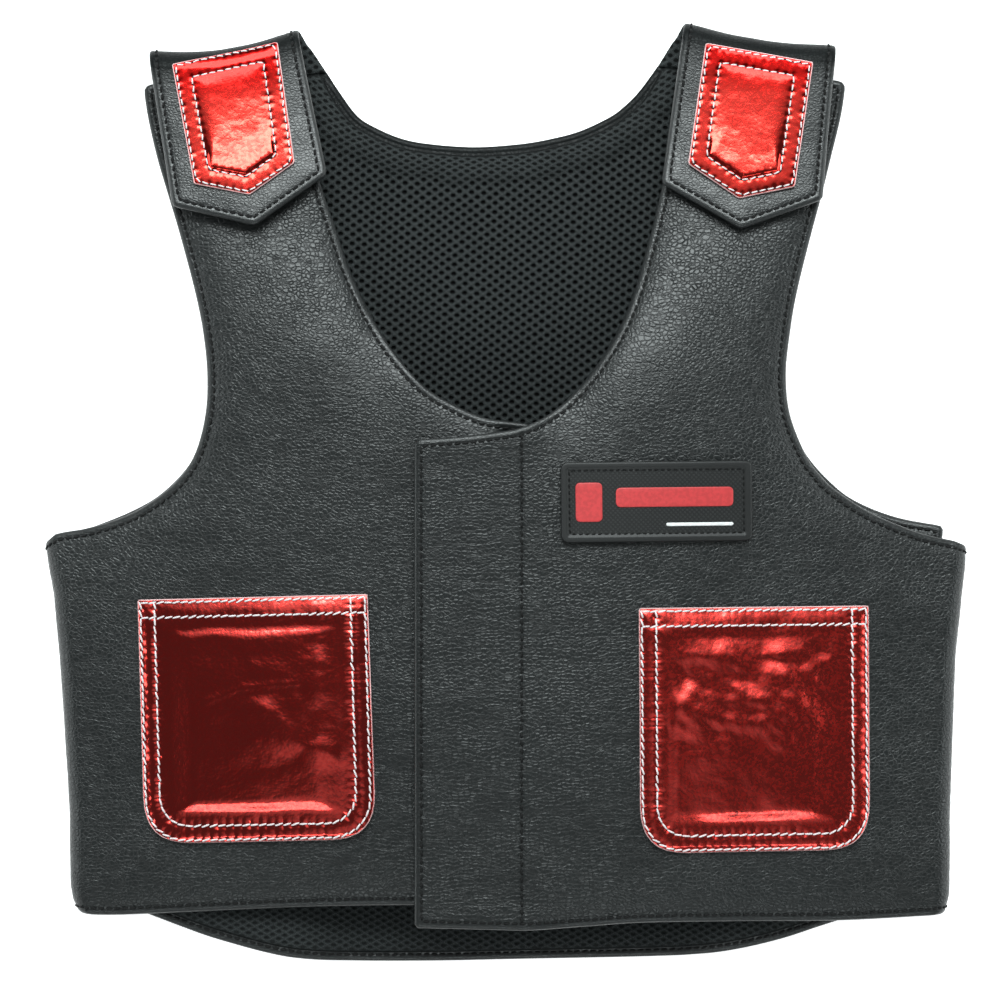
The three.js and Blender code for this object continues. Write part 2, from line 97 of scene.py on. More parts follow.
def smoothLine(points, step=1.0):
    # curve through the points, as a line of short steps
    p = np.array(points, float)
    ends = np.vstack([2 * p[0] - p[1], p, 2 * p[-1] - p[-2]])
    parts = []
    for k in range(len(p) - 1):
        a, b, c, d = ends[k:k + 4]
        count = max(1, int(math.dist(b, c) / step))
        t = (np.arange(count) / count)[:, None]
        parts.append(b + 0.5 * t * (c - a + t * (2 * a - 5 * b + 4 * c - d + t * (3 * (b - c) + d - a))))
    return np.vstack(parts + [p[-1:]])


def travelOf(line):
    return np.concatenate([[0.0], np.cumsum(np.hypot(*np.diff(line, axis=0).T))])


def pointsAlong(line, distances):
    travel = travelOf(line)
    return np.column_stack([np.interp(distances, travel, line[:, k]) for k in (0, 1)])


def evenLine(line, step):
    length = travelOf(line)[-1]
    return pointsAlong(line, np.linspace(0, length, max(2, int(round(length / step)) + 1)))


def closed(line):
    return np.vstack([line, line[:1]])


def closedOutline(runs, radii, step):
    # runs of points, each a smooth curve, joined by corners; radii holds the corner at each run's end
    lines = [smoothLine(run) for run in runs]
    parts = []
    for k, line in enumerate(lines):
        length = travelOf(line)[-1]
        kept = np.linspace(radii[k - 1], length - radii[k], max(2, int(length)))
        parts.append(pointsAlong(line, kept))
    around = []
    for k, part in enumerate(parts):
        after = parts[(k + 1) % len(parts)][0]
        corner = lines[k][-1]
        t = np.linspace(0, 1, 9)[1:-1, None]
        around += [part, (1 - t) ** 2 * part[-1] + 2 * t * (1 - t) * corner + t * t * after]
    line = evenLine(closed(np.vstack(around)), step)[:-1]
    for run, radius in zip(lines, radii):
        if radius < 0.5:     # a sharp corner keeps its point
            line[np.argmin(np.hypot(*(line - run[-1]).T))] = run[-1]
    x, y = line.T
    area = np.sum(x * np.roll(y, -1) - y * np.roll(x, -1))
    return line if area > 0 else line[::-1]


def insideOf(points, outline):
    # which points lie within the outline
    a = outline
    ab = np.roll(outline, -1, axis=0) - a
    slope = np.divide(ab[:, 0], ab[:, 1], out=np.zeros(len(a)), where=ab[:, 1] != 0)
    found = []
    for part in np.array_split(points, max(1, len(points) // 1500)):
        ap = part[:, None] - a
        level = (ap[..., 1] < 0) != (ap[..., 1] < ab[:, 1])
        found.append((level & (ap[..., 0] < ap[..., 1] * slope)).sum(1) % 2 == 1)
    return np.concatenate(found)


def nearest(points, others):
    # distance from each point to the nearest of the others, and which one that is
    tree = KDTree(len(others))
    for k, p in enumerate(others):
        tree.insert((p[0], p[1], 0.0), k)
    tree.balance()
    found = [tree.find((p[0], p[1], 0.0)) for p in points]
    return np.array([f[2] for f in found]), np.array([f[1] for f in found], int)


def lineDistance(points, line):
    # distance from each point to a line, and how far along the line it is nearest
    fine = evenLine(line, 0.2)
    gap, which = nearest(points, fine)
    return gap, travelOf(fine)[which]


def gapTo(points, line):
    return lineDistance(points, line)[0]


def inwardOf(outline):
    along = np.roll(outline, -1, axis=0) - np.roll(outline, 1, axis=0)
    return np.column_stack([-along[:, 1], along[:, 0]]) / np.hypot(*along.T)[:, None]


def insetLoop(outline, distance, step=1.0):
    # line at a distance inside the outline, without the stretches that fold back at tight corners
    moved = outline + inwardOf(outline) * distance
    kept = gapTo(moved, closed(outline)) > 0.985 * distance
    return evenLine(closed(moved[kept]), step)[:-1]


# Meshes

def staggered(outline, spacing):
    low = outline.min(0)
    high = outline.max(0)
    rows = np.arange(low[1], high[1], spacing * 0.866)
    columns = np.arange(low[0], high[0], spacing)
    u, v = np.meshgrid(columns, rows)
    u = u + (np.arange(len(rows)) % 2)[:, None] * spacing / 2
    return np.column_stack([u.ravel(), v.ravel()])


def layOut(outline, rings, spacing, extra=None, seamRings=()):
    # triangles over an outline: rings that follow its edge, closer ones at a seam, then a staggered field
    coarse = outline[::2] if len(seamRings) else outline
    inward = inwardOf(outline)
    border = closed(outline)
    parts = [coarse]
    for distance in (*rings, *seamRings):
        ring = outline + inward * distance
        if len(seamRings) and distance not in seamRings:
            ring = ring[::2]
        parts.append(ring[gapTo(ring, border) > 0.97 * distance])
    field = staggered(outline, spacing)
    field = field[insideOf(field, outline)]
    field = field[gapTo(field, border) > max((*rings, *seamRings)) + 0.5 * spacing]
    if extra is not None:
        extra = extra[insideOf(extra, outline)]
        extra = extra[gapTo(extra, border) > 0.5]
        crowd, _ = nearest(field, extra)
        field = field[crowd > 0.6 * spacing]
        parts.append(extra)
    parts.append(field)
    coords = [Vector(p) for p in np.vstack(parts)]
    rimFace = [list(range(len(coarse)))]
    verts, _, faces, origin, _, _ = delaunay_2d_cdt(coords, [], rimFace, 1, 1e-4)
    points = np.array([p[:] for p in verts])
    onRim = np.array([bool(o) and min(o) < len(coarse) for o in origin])
    edge = np.where(onRim, 0.0, gapTo(points, closed(coarse)))
    return {"points": points, "faces": np.array(faces), "rim": onRim, "edge": edge}


def makeObject(name, verts, faces, materials, faceMaterial=None):
    mesh = bpy.data.meshes.new(name)
    mesh.from_pydata((np.asarray(verts) * mm).tolist(), [], [list(f) for f in faces])
    for material in materials:
        mesh.materials.append(material)
    if faceMaterial is not None:
        mesh.polygons.foreach_set("material_index", np.asarray(faceMaterial, np.int32))
    mesh.shade_smooth()
    mesh.update()
    piece = bpy.data.objects.new(name, mesh)
    bpy.context.collection.objects.link(piece)
    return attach(piece, "root")


def shellPiece(name, lay, faces, place, materials, zone=None):
    # closed shell: an outside and an inside that share the rim
    # zone gives the material of each face of the outside, where that has several
    u, v = lay["points"].T
    top, bottom = faces(u, v, lay["edge"])
    rim = lay["rim"]
    middle = 0.5 * (top + bottom)
    top = np.where(rim, middle, top)
    outside = place(u, v, top)
    inside = place(u, v, bottom)[~rim]
    under = np.arange(len(u))
    under[~rim] = len(u) + np.arange(len(inside))
    upper = lay["faces"]
    lower = under[upper][:, ::-1]
    kept = (lower[:, 0] != upper[:, 2]) | (lower[:, 1] != upper[:, 1]) | (lower[:, 2] != upper[:, 0])
    verts = np.vstack([outside, inside])
    allFaces = np.vstack([upper[kept], lower[kept]])
    a, b, c = (verts[allFaces[:, k]] for k in range(3))
    if np.einsum("ij,ij->i", a, np.cross(b, c)).sum() < 0:
        allFaces = allFaces[:, ::-1]
    sideOf = np.repeat([0, 1], [kept.sum(), kept.sum()])
    if zone is not None:
        sideOf[:kept.sum()] = zone(*lay["points"][upper[kept]].mean(1).T)
    piece = makeObject(name, verts, allFaces, materials, sideOf if len(materials) > 1 else None)
    keepValue(piece, "edge", lay["edge"], lay["edge"][~rim])
    return piece


def keepValue(piece, name, outside, inside):
    layer = piece.data.attributes.new(name, "FLOAT", "POINT")
    layer.data.foreach_set("value", np.concatenate([outside, inside]).astype(np.float32))


def heightBy(faces, outline):
    # height of a piece's outside at points of its pattern
    def height(u, v):
        return faces(u, v, gapTo(np.column_stack([u, v]), closed(outline)))[0]

    return height


def heightAt(faces, edge, face=0):
    # the same along a line at one distance from the edge; face 1 is the inside
    def height(u, v):
        return faces(u, v, np.full(len(u), edge))[face]

    return height


def standFor(node):
    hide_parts(node)


# Thread

# hole: size of a dark disc of painted shade over each needle hole, none at 0
blackThread = {
    "pitch": 4.5, "length": 3.5, "width": 1.35, "thick": 1.0,
    "lift": 0.3, "slant": 0.05, "hole": 0.0, "seed": 5,
}
whiteThread = {
    "pitch": 4.6, "length": 4.7, "width": 1.0, "thick": 0.65,
    "lift": 0.25, "slant": 0.1, "hole": 0.22, "seed": 6,
}
patchThread = {**whiteThread, "length": 3.9, "width": 0.85, "slant": 0.05, "hole": 0.5}


def sew(name, lines, thread, place, height):
    # one small rounded bar for each stitch along the lines, with its ends pulled down into the needle holes,
    # and a dark disc of painted shade over each needle hole where the thread has a hole size
    random = np.random.default_rng(thread["seed"])
    starts = []
    finishes = []
    for line in lines:
        length = travelOf(line)[-1]
        count = max(1, int(round(length / thread["pitch"])))
        middle = (np.arange(count) + 0.5) * length / count
        half = 0.5 * thread["length"] * length / count / thread["pitch"]
        starts.append(pointsAlong(line, middle - half))
        finishes.append(pointsAlong(line, middle + half))
    start = np.vstack(starts)
    finish = np.vstack(finishes)
    shift = finish - start
    sideways = np.column_stack([-shift[:, 1], shift[:, 0]])
    slant = random.normal(thread["slant"], 0.05, len(start))[:, None] * sideways
    start = start - slant
    finish = finish + slant
    share = np.array([0.0, 0.16, 0.5, 0.84, 1.0])
    swell = np.array([0.45, 0.95, 1.05, 0.95, 0.45])
    rise = np.array([-0.9, 0.45, 1.0, 0.45, -0.9]) * thread["lift"]
    turn = np.arange(6) * math.pi / 3
    centre = 0.5 * (start + finish)
    level = height(*centre.T)
    low = place(*centre.T, level)
    normal = place(*centre.T, level + 1.0) - low
    normal /= np.linalg.norm(normal, axis=1)[:, None]
    along = place(*finish.T, level) - place(*start.T, level)
    across = np.cross(normal, along)
    across /= np.linalg.norm(across, axis=1)[:, None]
    rings = []
    for s, r, h in zip(share, swell, rise):
        spot = between(start, finish, s)
        base = place(*spot.T, height(*spot.T)) + normal * (h + 0.25 * thread["thick"])
        wide = across[:, None] * (0.5 * thread["width"] * r * np.cos(turn))[:, None]
        tall = normal[:, None] * (0.5 * thread["thick"] * r * np.sin(turn))[:, None]
        rings.append(base[:, None] + wide + tall)
    verts = np.stack(rings, axis=1).reshape(-1, 3)
    offsets = 30 * np.arange(len(start))
    faces = []
    for ring in range(4):
        for k in range(6):
            quad = [6 * ring + k, 6 * ring + (k + 1) % 6, 6 * ring + 6 + (k + 1) % 6, 6 * ring + 6 + k]
            faces += (offsets[:, None] + quad).tolist()
    faces += (offsets[:, None] + np.arange(5, -1, -1)).tolist()
    faces += (offsets[:, None] + np.arange(24, 30)).tolist()
    slots = [0] * len(faces)
    # dark discs of painted shade over the needle holes
    if thread["hole"]:
        spots = np.vstack([start, finish])
        level = height(*spots.T) + 0.28
        rim = [spots + thread["hole"] * np.array([math.cos(t), math.sin(t)]) for t in turn]
        discs = np.stack([place(*r.T, level) for r in rim], axis=1).reshape(-1, 3)
        first = len(verts)
        verts = np.vstack([verts, discs])
        faces += (first + 6 * np.arange(len(spots))[:, None] + np.arange(6)).tolist()
        slots += [1] * len(spots)
    materials = [threadWhite, needleHoleShade] if thread["hole"] else [threadBlack]
    piece = makeObject(name, verts, faces, materials, slots)
    return piece


def keptRuns(loop, kept):
    # the stretches of a closed loop that are kept
    first = int(np.argmin(kept))
    loop = np.roll(loop, -first, axis=0)
    kept = np.roll(kept, -first)
    cuts = np.flatnonzero(np.diff(kept.astype(int))) + 1
    parts = zip(np.split(loop, cuts), np.split(kept, cuts))
    return [part for part, flag in parts if flag[0] and len(part) > 3]


# Node helpers

def addNode(tree, kind, inputs=None, **settings):
    node = tree.nodes.new(kind)
    for key, value in settings.items():
        setattr(node, key, value)
    for key, value in (inputs or {}).items():
        if isinstance(value, bpy.types.NodeSocket):
            tree.links.new(value, node.inputs[key])
        else:
            node.inputs[key].default_value = value
    return node


def calc(tree, operation, a, b=0.0, c=0.0):
    node = addNode(tree, "ShaderNodeMath", {0: a, 1: b, 2: c}, operation=operation)
    return node.outputs[0]


def ranged(tree, value, low, high, toLow=0.0, toHigh=1.0):
    inputs = {"Value": value, "From Min": low, "From Max": high, "To Min": toLow, "To Max": toHigh}
    return addNode(tree, "ShaderNodeMapRange", inputs, interpolation_type="SMOOTHSTEP").outputs[0]


def mixed(tree, share, a, b):
    node = addNode(tree, "ShaderNodeMix", data_type="RGBA")
    for socket, value in zip((node.inputs[0], node.inputs[6], node.inputs[7]), (share, a, b)):
        if isinstance(value, bpy.types.NodeSocket):
            tree.links.new(value, socket)
        else:
            socket.default_value = value
    return node.outputs[2]


def newGroup(name, inputs, outputs):
    group = bpy.data.node_groups.new(name, "ShaderNodeTree")
    for label, value in inputs.items():
        socket = group.interface.new_socket(label, in_out="INPUT", socket_type="NodeSocketFloat")
        socket.default_value = value
    for label in outputs:
        group.interface.new_socket(label, in_out="OUTPUT", socket_type="NodeSocketFloat")
    return group, addNode(group, "NodeGroupInput").outputs, addNode(group, "NodeGroupOutput").inputs


def useGroup(tree, group, values):
    return addNode(tree, "ShaderNodeGroup", values, node_tree=group).outputs


def newMaterial(name, values):
    material = bpy.data.materials.new(name)
    material.use_nodes = True
    tree = material.node_tree
    shader = tree.nodes["Principled BSDF"]
    for label, value in values.items():
        shader.inputs[label].default_value = value
    return material, tree, shader.inputs


def objectPoint(tree, scale=(1000, 1000, 1000)):
    # place on the object, in millimetres
    where = addNode(tree, "ShaderNodeTexCoord").outputs["Object"]
    return addNode(tree, "ShaderNodeMapping", {"Vector": where, "Scale": scale}).outputs[0]


def noiseOf(tree, where, scale, detail):
    return addNode(tree, "ShaderNodeTexNoise", {"Vector": where, "Scale": scale, "Detail": detail}).outputs


def keptValue(tree, name):
    return addNode(tree, "ShaderNodeAttribute", attribute_name=name).outputs["Fac"]


# Shared effects

def buildLeatherGrain():
    # flat-topped pebbles parted by thin creases, some of them drawn together by long wavy wrinkles
    group, given, made = newGroup("leatherGrain", {"Cell": 2.3}, ("Height", "Crease", "Tone"))
    where = objectPoint(group, (900, 1120, 1000))
    drift = noiseOf(group, where, 0.07, 2.0)["Color"]
    pulled = addNode(group, "ShaderNodeVectorMath", {0: drift, 3: 5.0}, operation="SCALE").outputs[0]
    bent = addNode(group, "ShaderNodeVectorMath", {0: where, 1: pulled}, operation="ADD").outputs[0]
    inputs = {"Vector": bent, "Scale": calc(group, "DIVIDE", 1.0, given["Cell"]), "Randomness": 0.85}
    cells = addNode(group, "ShaderNodeTexVoronoi", inputs, feature="DISTANCE_TO_EDGE")
    owner = addNode(group, "ShaderNodeTexVoronoi", inputs, feature="F1")
    tall = addNode(group, "ShaderNodeSeparateColor", {0: owner.outputs["Color"]}).outputs[0]
    reach = calc(group, "MINIMUM", calc(group, "MULTIPLY", cells.outputs["Distance"], 2.7), 1.0)
    slack = calc(group, "SUBTRACT", 1.0, reach)
    dome = calc(group, "SUBTRACT", 1.0, calc(group, "MULTIPLY", slack, slack))
    turn = {"Vector": bent, "Rotation": (0, 0, -0.3), "Scale": (0.045, 0.16, 0.1)}
    turned = addNode(group, "ShaderNodeMapping", turn).outputs[0]
    waves = noiseOf(group, turned, 1.0, 2.0)["Fac"]
    valley = calc(group, "ABSOLUTE", calc(group, "SUBTRACT", waves, 0.5))
    ridge = ranged(group, valley, 0.0, 0.04)
    broad = noiseOf(group, where, 0.022, 3.0)["Fac"]
    fine = noiseOf(group, where, 0.8, 2.0)["Fac"]
    depth = ranged(group, broad, 0.35, 0.65, 0.6, 1.0)
    wrinkled = ranged(group, broad, 0.42, 0.6, 0.6, 0.0)
    body = calc(group, "MULTIPLY", dome, calc(group, "MULTIPLY_ADD", tall, 0.55, 0.45))
    body = calc(group, "MULTIPLY", body, depth)
    body = calc(group, "MULTIPLY_ADD", calc(group, "MULTIPLY", ridge, wrinkled), 0.45, body)
    group.links.new(calc(group, "MULTIPLY_ADD", fine, 0.2, body), made["Height"])
    group.links.new(calc(group, "SUBTRACT", 1.0, dome), made["Crease"])
    group.links.new(ranged(group, broad, 0.3, 0.7), made["Tone"])
    return group


def buildKnitHoles():
    # oval holes in staggered rows, as a mask, and the strands that run round them
    inputs = {"Across": 6.9, "Rows": 2.6, "Wide": 1.55, "Tall": 1.2, "Turn": 4.0, "Shift": 0.0}
    group, given, made = newGroup("knitHoles", inputs, ("Hole", "Strand", "Yarn"))
    where = objectPoint(group)
    angle = calc(group, "RADIANS", given["Turn"])
    inputs = {"Vector": where, "Axis": (0, 0, 1), "Angle": angle}
    turned = addNode(group, "ShaderNodeVectorRotate", inputs).outputs[0]
    x, y, _ = addNode(group, "ShaderNodeSeparateXYZ", {0: turned}).outputs
    y = calc(group, "ADD", y, given["Shift"])
    period = calc(group, "MULTIPLY", given["Rows"], 2.0)
    reaches = []
    for shift in (0.5, 0.0):
        terms = []
        for value, step, size in ((x, given["Across"], given["Wide"]), (y, period, given["Tall"])):
            counted = calc(group, "ADD", calc(group, "DIVIDE", value, step), shift)
            offset = calc(group, "SUBTRACT", calc(group, "FRACT", counted), 0.5)
            share = calc(group, "DIVIDE", calc(group, "MULTIPLY", offset, step), size)
            terms.append(calc(group, "MULTIPLY", share, share))
        reaches.append(calc(group, "SQRT", calc(group, "ADD", *terms)))
    reach = calc(group, "MINIMUM", *reaches)
    fibre = noiseOf(group, where, 2.2, 4.0)["Fac"]
    group.links.new(ranged(group, reach, 0.84, 1.04, 1.0, 0.0), made["Hole"])
    apart = calc(group, "ABSOLUTE", calc(group, "SUBTRACT", *reaches))
    net = ranged(group, apart, 0.1, 0.4, 1.0, 0.55)
    strand = calc(group, "MULTIPLY", net, ranged(group, fibre, 0.32, 0.64, 0.35, 1.0))
    group.links.new(strand, made["Strand"])
    group.links.new(calc(group, "MULTIPLY_ADD", fibre, 0.6, strand), made["Yarn"])
    return group


def buildFoilCrinkle():
    # sharp shallow creases at two sizes, and a haze that follows them
    group, given, made = newGroup("foilCrinkle", {"Broad": 7.0, "Fine": 1.9}, ("Height", "Haze"))
    where = objectPoint(group)
    broad, fine = (noiseOf(group, where, calc(group, "DIVIDE", 1.0, given[size]), 2.0)["Fac"]
                   for size in ("Broad", "Fine"))
    ridge = calc(group, "ABSOLUTE", calc(group, "SUBTRACT", broad, 0.5))
    group.links.new(calc(group, "MULTIPLY_ADD", fine, 0.35, ridge), made["Height"])
    group.links.new(ranged(group, fine, 0.35, 0.65), made["Haze"])
    return group


def blended(tree, share, a, b):
    return addNode(tree, "ShaderNodeMix", {0: share, 2: a, 3: b}, data_type="FLOAT").outputs[0]


def addBump(tree, height, strength, distance):
    inputs = {"Height": height, "Strength": strength, "Distance": distance * mm}
    return addNode(tree, "ShaderNodeBump", inputs).outputs[0]


leatherGrain = buildLeatherGrain()
knitHoles = buildKnitHoles()
foilCrinkle = buildFoilCrinkle()


# Materials

leatherLook = {
    "top": (0.0080, 0.0094, 0.0095, 1),
    "worn": (0.0112, 0.0130, 0.0131, 1),
    # crease: painted shade, the darker colour laid into the grain's creases
    "crease": (0.0030, 0.0034, 0.0035, 1),
    "smooth": 0.33, "dull": 0.5,
    "bareRim": (1.5, 5.0),     # the grain is stretched flat along the rolled edge
}


def leatherMaterial(name, cell, shine, depth):
    material, tree, socket = newMaterial(name, {"Specular IOR Level": shine})
    grain = useGroup(tree, leatherGrain, {"Cell": cell})
    colour = mixed(tree, grain["Tone"], leatherLook["top"], leatherLook["worn"])
    # painted shade: the colour darkens towards the grain's creases
    paintedCreaseShade = calc(tree, "MULTIPLY", grain["Crease"], 0.8)
    tree.links.new(mixed(tree, paintedCreaseShade, colour, leatherLook["crease"]), socket["Base Color"])
    edge = keptValue(tree, "edge")
    dull = ranged(tree, grain["Crease"], 0.0, 1.0, leatherLook["smooth"], leatherLook["dull"])
    rough = calc(tree, "MULTIPLY", dull, ranged(tree, edge, 2.0, 4.5, 0.95, 1.0))
    tree.links.new(rough, socket["Roughness"])
    height = calc(tree, "MULTIPLY", grain["Height"], ranged(tree, edge, *leatherLook["bareRim"], 0.4, 1.0))
    tree.links.new(addBump(tree, height, 1.0, depth), socket["Normal"])
    return material


knitLook = {
    "yarn": (0.0042, 0.0049, 0.0050, 1),
    "strand": (0.048, 0.0533, 0.0539, 1),
    # hole: painted shade, the dark colour laid into the knit's holes
    "hole": (0.0022, 0.0026, 0.0026, 1),
    "depth": 0.5,
    "tail": {"Rows": 2.0, "Tall": 0.92}, "tailHoleShade": 0.55,     # closer rows at the tail, and weaker painted shade in its holes
}


def knitMaterial(name, lined):
    # the lining has a tail with closer rows, and a bare band along its edge; the holes get painted shade,
    # weaker at the tail
    material, tree, socket = newMaterial(name, {"Roughness": 0.8, "Specular IOR Level": 0.1})
    knit = useGroup(tree, knitHoles, {"Shift": keptValue(tree, "squash")})
    dark = knit["Hole"]
    strand = knit["Strand"]
    if lined:
        tail = useGroup(tree, knitHoles, knitLook["tail"])
        low = keptValue(tree, "tail")
        bare = keptValue(tree, "bare")
        tailHoleShadeMask = calc(tree, "MULTIPLY", tail["Hole"], knitLook["tailHoleShade"])
        strand = calc(tree, "MULTIPLY", blended(tree, low, strand, tail["Strand"]), bare)
        dark = calc(tree, "MULTIPLY", blended(tree, low, dark, tailHoleShadeMask), bare)
    colour = mixed(tree, strand, knitLook["yarn"], knitLook["strand"])
    # painted shade: the hole mask darkens the colour in the holes
    tree.links.new(mixed(tree, dark, colour, knitLook["hole"]), socket["Base Color"])
    tree.links.new(addBump(tree, knit["Yarn"], 0.5, knitLook["depth"]), socket["Normal"])
    return material


foilLook = {
    "red": (0.80, 0.050, 0.036, 1),
    "deep": (0.66, 0.030, 0.022, 1),
    # painted highlight along the cut edge
    "cut": (0.80, 0.52, 0.52, 1),
    "bent": (0.74, 0.010, 0.008, 1),     # painted shade: a darker, purer red where a patch bends over the shoulder
}


def foilMaterial(name, bump, smooth, hazy, coat):
    # mirror-like red, with a pale painted highlight along its cut edge
    material, tree, socket = newMaterial(name, {"Coat Weight": coat, "Coat Roughness": smooth})
    crinkle = useGroup(tree, foilCrinkle, {})
    core = ranged(tree, keptValue(tree, "edge"), 0.3, 0.95)
    colour = mixed(tree, crinkle["Haze"], foilLook["red"], foilLook["deep"])
    # painted shade: a darker, purer red where the patch turns over the fold
    colour = mixed(tree, keptValue(tree, "bent"), colour, foilLook["bent"])
    # painted highlight: the pale colour at the cut edge
    tree.links.new(mixed(tree, core, foilLook["cut"], colour), socket["Base Color"])
    tree.links.new(core, socket["Metallic"])
    haze = ranged(tree, crinkle["Haze"], 0.0, 1.0, smooth, hazy)
    tree.links.new(haze, socket["Roughness"])
    tree.links.new(addBump(tree, crinkle["Height"], bump, 0.35), socket["Normal"])
    return material


rubberLook = {
    "rim": (0.0080, 0.0085, 0.0085, 1),
    "field": (0.0042, 0.0045, 0.0045, 1),
    # dot: painted highlight on the raised dots
    "dotHighlight": (0.015, 0.016, 0.016, 1),
    "dots": {"Across": 2.6, "Rows": 1.3, "Wide": 0.62, "Tall": 0.62, "Turn": -0.6},
    "begins": (4.6, 5.2),     # the dotted field, from the edge
}


def rubberMaterial():
    # moulded field of fine dots inside a plain rim, with a painted highlight on the dots
    material, tree, socket = newMaterial("labelRubber", {"Roughness": 0.5, "Specular IOR Level": 0.45})
    field = ranged(tree, keptValue(tree, "edge"), *rubberLook["begins"])
    plain = mixed(tree, field, rubberLook["rim"], rubberLook["field"])
    # painted highlight: the raised dots get a lighter colour
    lit = calc(tree, "MULTIPLY", useGroup(tree, knitHoles, rubberLook["dots"])["Hole"], field)
    tree.links.new(mixed(tree, lit, plain, rubberLook["dotHighlight"]), socket["Base Color"])
    tree.links.new(addBump(tree, lit, 0.7, 0.3), socket["Normal"])
    return material


# fineness of the mottling, how dark it goes, its bump and shine
twisted = {"scale": 3.0, "detail": 2.0, "dark": 0.6, "bump": (0.6, 0.2), "shine": 0.3}
painted = {"scale": 0.5, "detail": 3.0, "dark": 0.82, "bump": (0.3, 0.15), "shine": 0.5}


def mottledMaterial(name, colour, look, roughness):
    # twisted thread, or paint on rubber
    material, tree, socket = newMaterial(name, {"Roughness": roughness, "Specular IOR Level": look["shine"]})
    spots = noiseOf(tree, objectPoint(tree), look["scale"], look["detail"])["Fac"]
    shade = tuple(look["dark"] * c for c in colour[:3]) + (1,)
    tree.links.new(mixed(tree, ranged(tree, spots, 0.35, 0.65), shade, colour), socket["Base Color"])
    tree.links.new(addBump(tree, spots, *look["bump"]), socket["Normal"])
    return material


def pileMaterial():
    # short dense loops of the fastening tapes
    material, tree, socket = newMaterial("tapePile", {"Roughness": 0.95, "Sheen Weight": 0.4})
    pile = noiseOf(tree, objectPoint(tree), 1.1, 5.0)["Fac"]
    tree.links.new(mixed(tree, pile, (0.004, 0.004, 0.004, 1), (0.02, 0.02, 0.021, 1)), socket["Base Color"])
    tree.links.new(addBump(tree, pile, 0.9, 0.8), socket["Normal"])
    return material


# shaded copies of the strap leather, with their shine and depth of grain from the shoulder down; the lower
# shine paints shade over the fold
foldShadeLooks = ((0.07, 0.12), (0.22, 0.14), (0.36, 0.16), (0.5, 0.17), (0.6, 0.18))
panelLeather = leatherMaterial("panelLeather", 2.35, 0.47, 0.31)
collarLeather = leatherMaterial("collarLeather", 2.35, 0.1, 0.2)
strapLeather = leatherMaterial("strapLeather", 1.9, 0.70, 0.18)
foldShadeLeathers = [leatherMaterial(f"foldShadeLeather{k}", 1.9, *look) for k, look in enumerate(foldShadeLooks)]
innerKnit = knitMaterial("innerKnit", False)
liningKnit = knitMaterial("liningKnit", True)
pocketFoil = {"right": foilMaterial("pocketFoilRight", 0.8, 0.13, 0.2, 0.7),
              "left": foilMaterial("pocketFoilLeft", 0.75, 0.18, 0.29, 0.7)}
patchFoil = foilMaterial("patchFoil", 0.28, 0.08, 0.14, 0.12)
labelRubber = rubberMaterial()
tapePile = pileMaterial()
threadBlack = mottledMaterial("threadBlack", (0.0025, 0.0025, 0.0025, 1), twisted, 0.75)
threadWhite = mottledMaterial("threadWhite", (0.86, 0.82, 0.83, 1), twisted, 0.5)
# painted shade for the needle holes
needleHoleShade = mottledMaterial("needleHoleShade", (0.02, 0.004, 0.004, 1), twisted, 0.7)
labelRed = mottledMaterial("labelRed", (0.52, 0.040, 0.043, 1), painted, 0.45)
labelWhite = mottledMaterial("labelWhite", (0.8, 0.8, 0.8, 1), painted, 0.45)
print("materials made")


# The lying vest: heights that all the pieces share, as the frame has them

lying = {
    "pad": 9.0, "sidePad": 6.0, "wing": 5.0, "flap": 3.4, "tab": 3.4, "backPad": 8.0, "backSide": 4.5,
    "strap": 6.0, "lining": 1.6, "tape": 1.5, "foil": 1.2, "label": 1.6, "gap": 0.3, "laidGap": 0.5,
    "arch": 25.0, "archPower": 1.2, "tabDrop": 4.2, "hemLoss": 0.25,
    # where along x or y a change sets in, and over how far
    "shoulderFlat": (60, 176), "hemFlat": (110, 130), "shoulderSink": (100, 100),
    "lapAcross": (60, 90), "lapUp": (60, 120),
    "backRiseOut": (85, 40), "backRiseUp": (-30, 55),
    "backThinOut": (185, 50), "backThinUp": (-10, 50),
    "frontThinOut": (185, 60), "frontThinUp": (150, 50),
    "tabAcross": (-10, 10), "tabUp": (34, 6), "flapAcross": (4, 26), "flapUp": (44, 20),
}
backLift = lying["wing"] + lying["tape"] + 2 * lying["gap"]
sideTop = backLift + lying["backSide"] + lying["laidGap"] + lying["lining"] + lying["sidePad"] + 1.0
shoulderTop = lying["backPad"] + lying["laidGap"] + lying["lining"] + lying["sidePad"] + 1.5
lapStep = lying["flap"] + lying["tape"] + 3.5 * lying["gap"]
sideRadius = sideTop / 2

# where the front panels begin to turn round the sides: height, then distance from the middle
foldTable = {
    "right": [(-238, 233.0), (-230, 236.0), (-222, 237.0), (-181, 237.0), (-136, 239.8), (-91, 242.7),
              (-57, 245.8), (-34, 251.0), (-26, 253.0), (-20, 256.0)],
    "left": [(-238, 240.6), (-227, 242.3), (-205, 242.3), (-181, 242.0), (-136, 243.4), (-91, 245.2),
             (-57, 249.0), (-42, 251.3), (-34, 252.2), (-28, 253.6), (-22, 256.0)],
}
signOf = {"right": -1.0, "left": 1.0}


def foldAt(side, v):
    heights, middles = zip(*foldTable[side])
    return np.interp(v, heights, middles)


def frontHeight(x, y):
    fold = np.where(x < 0, foldAt("right", y), foldAt("left", y))
    share = np.minimum(1.0, np.abs(x) / fold)
    across = (1 - share ** 2) ** lying["archPower"]
    shoulder = 1 - begins(y, lying["shoulderFlat"])
    hem = 1 - lying["hemLoss"] * begins(-y, lying["hemFlat"])
    sink = begins(y, lying["shoulderSink"])
    return between(sideTop, shoulderTop, sink) + lying["arch"] * across * shoulder * hem


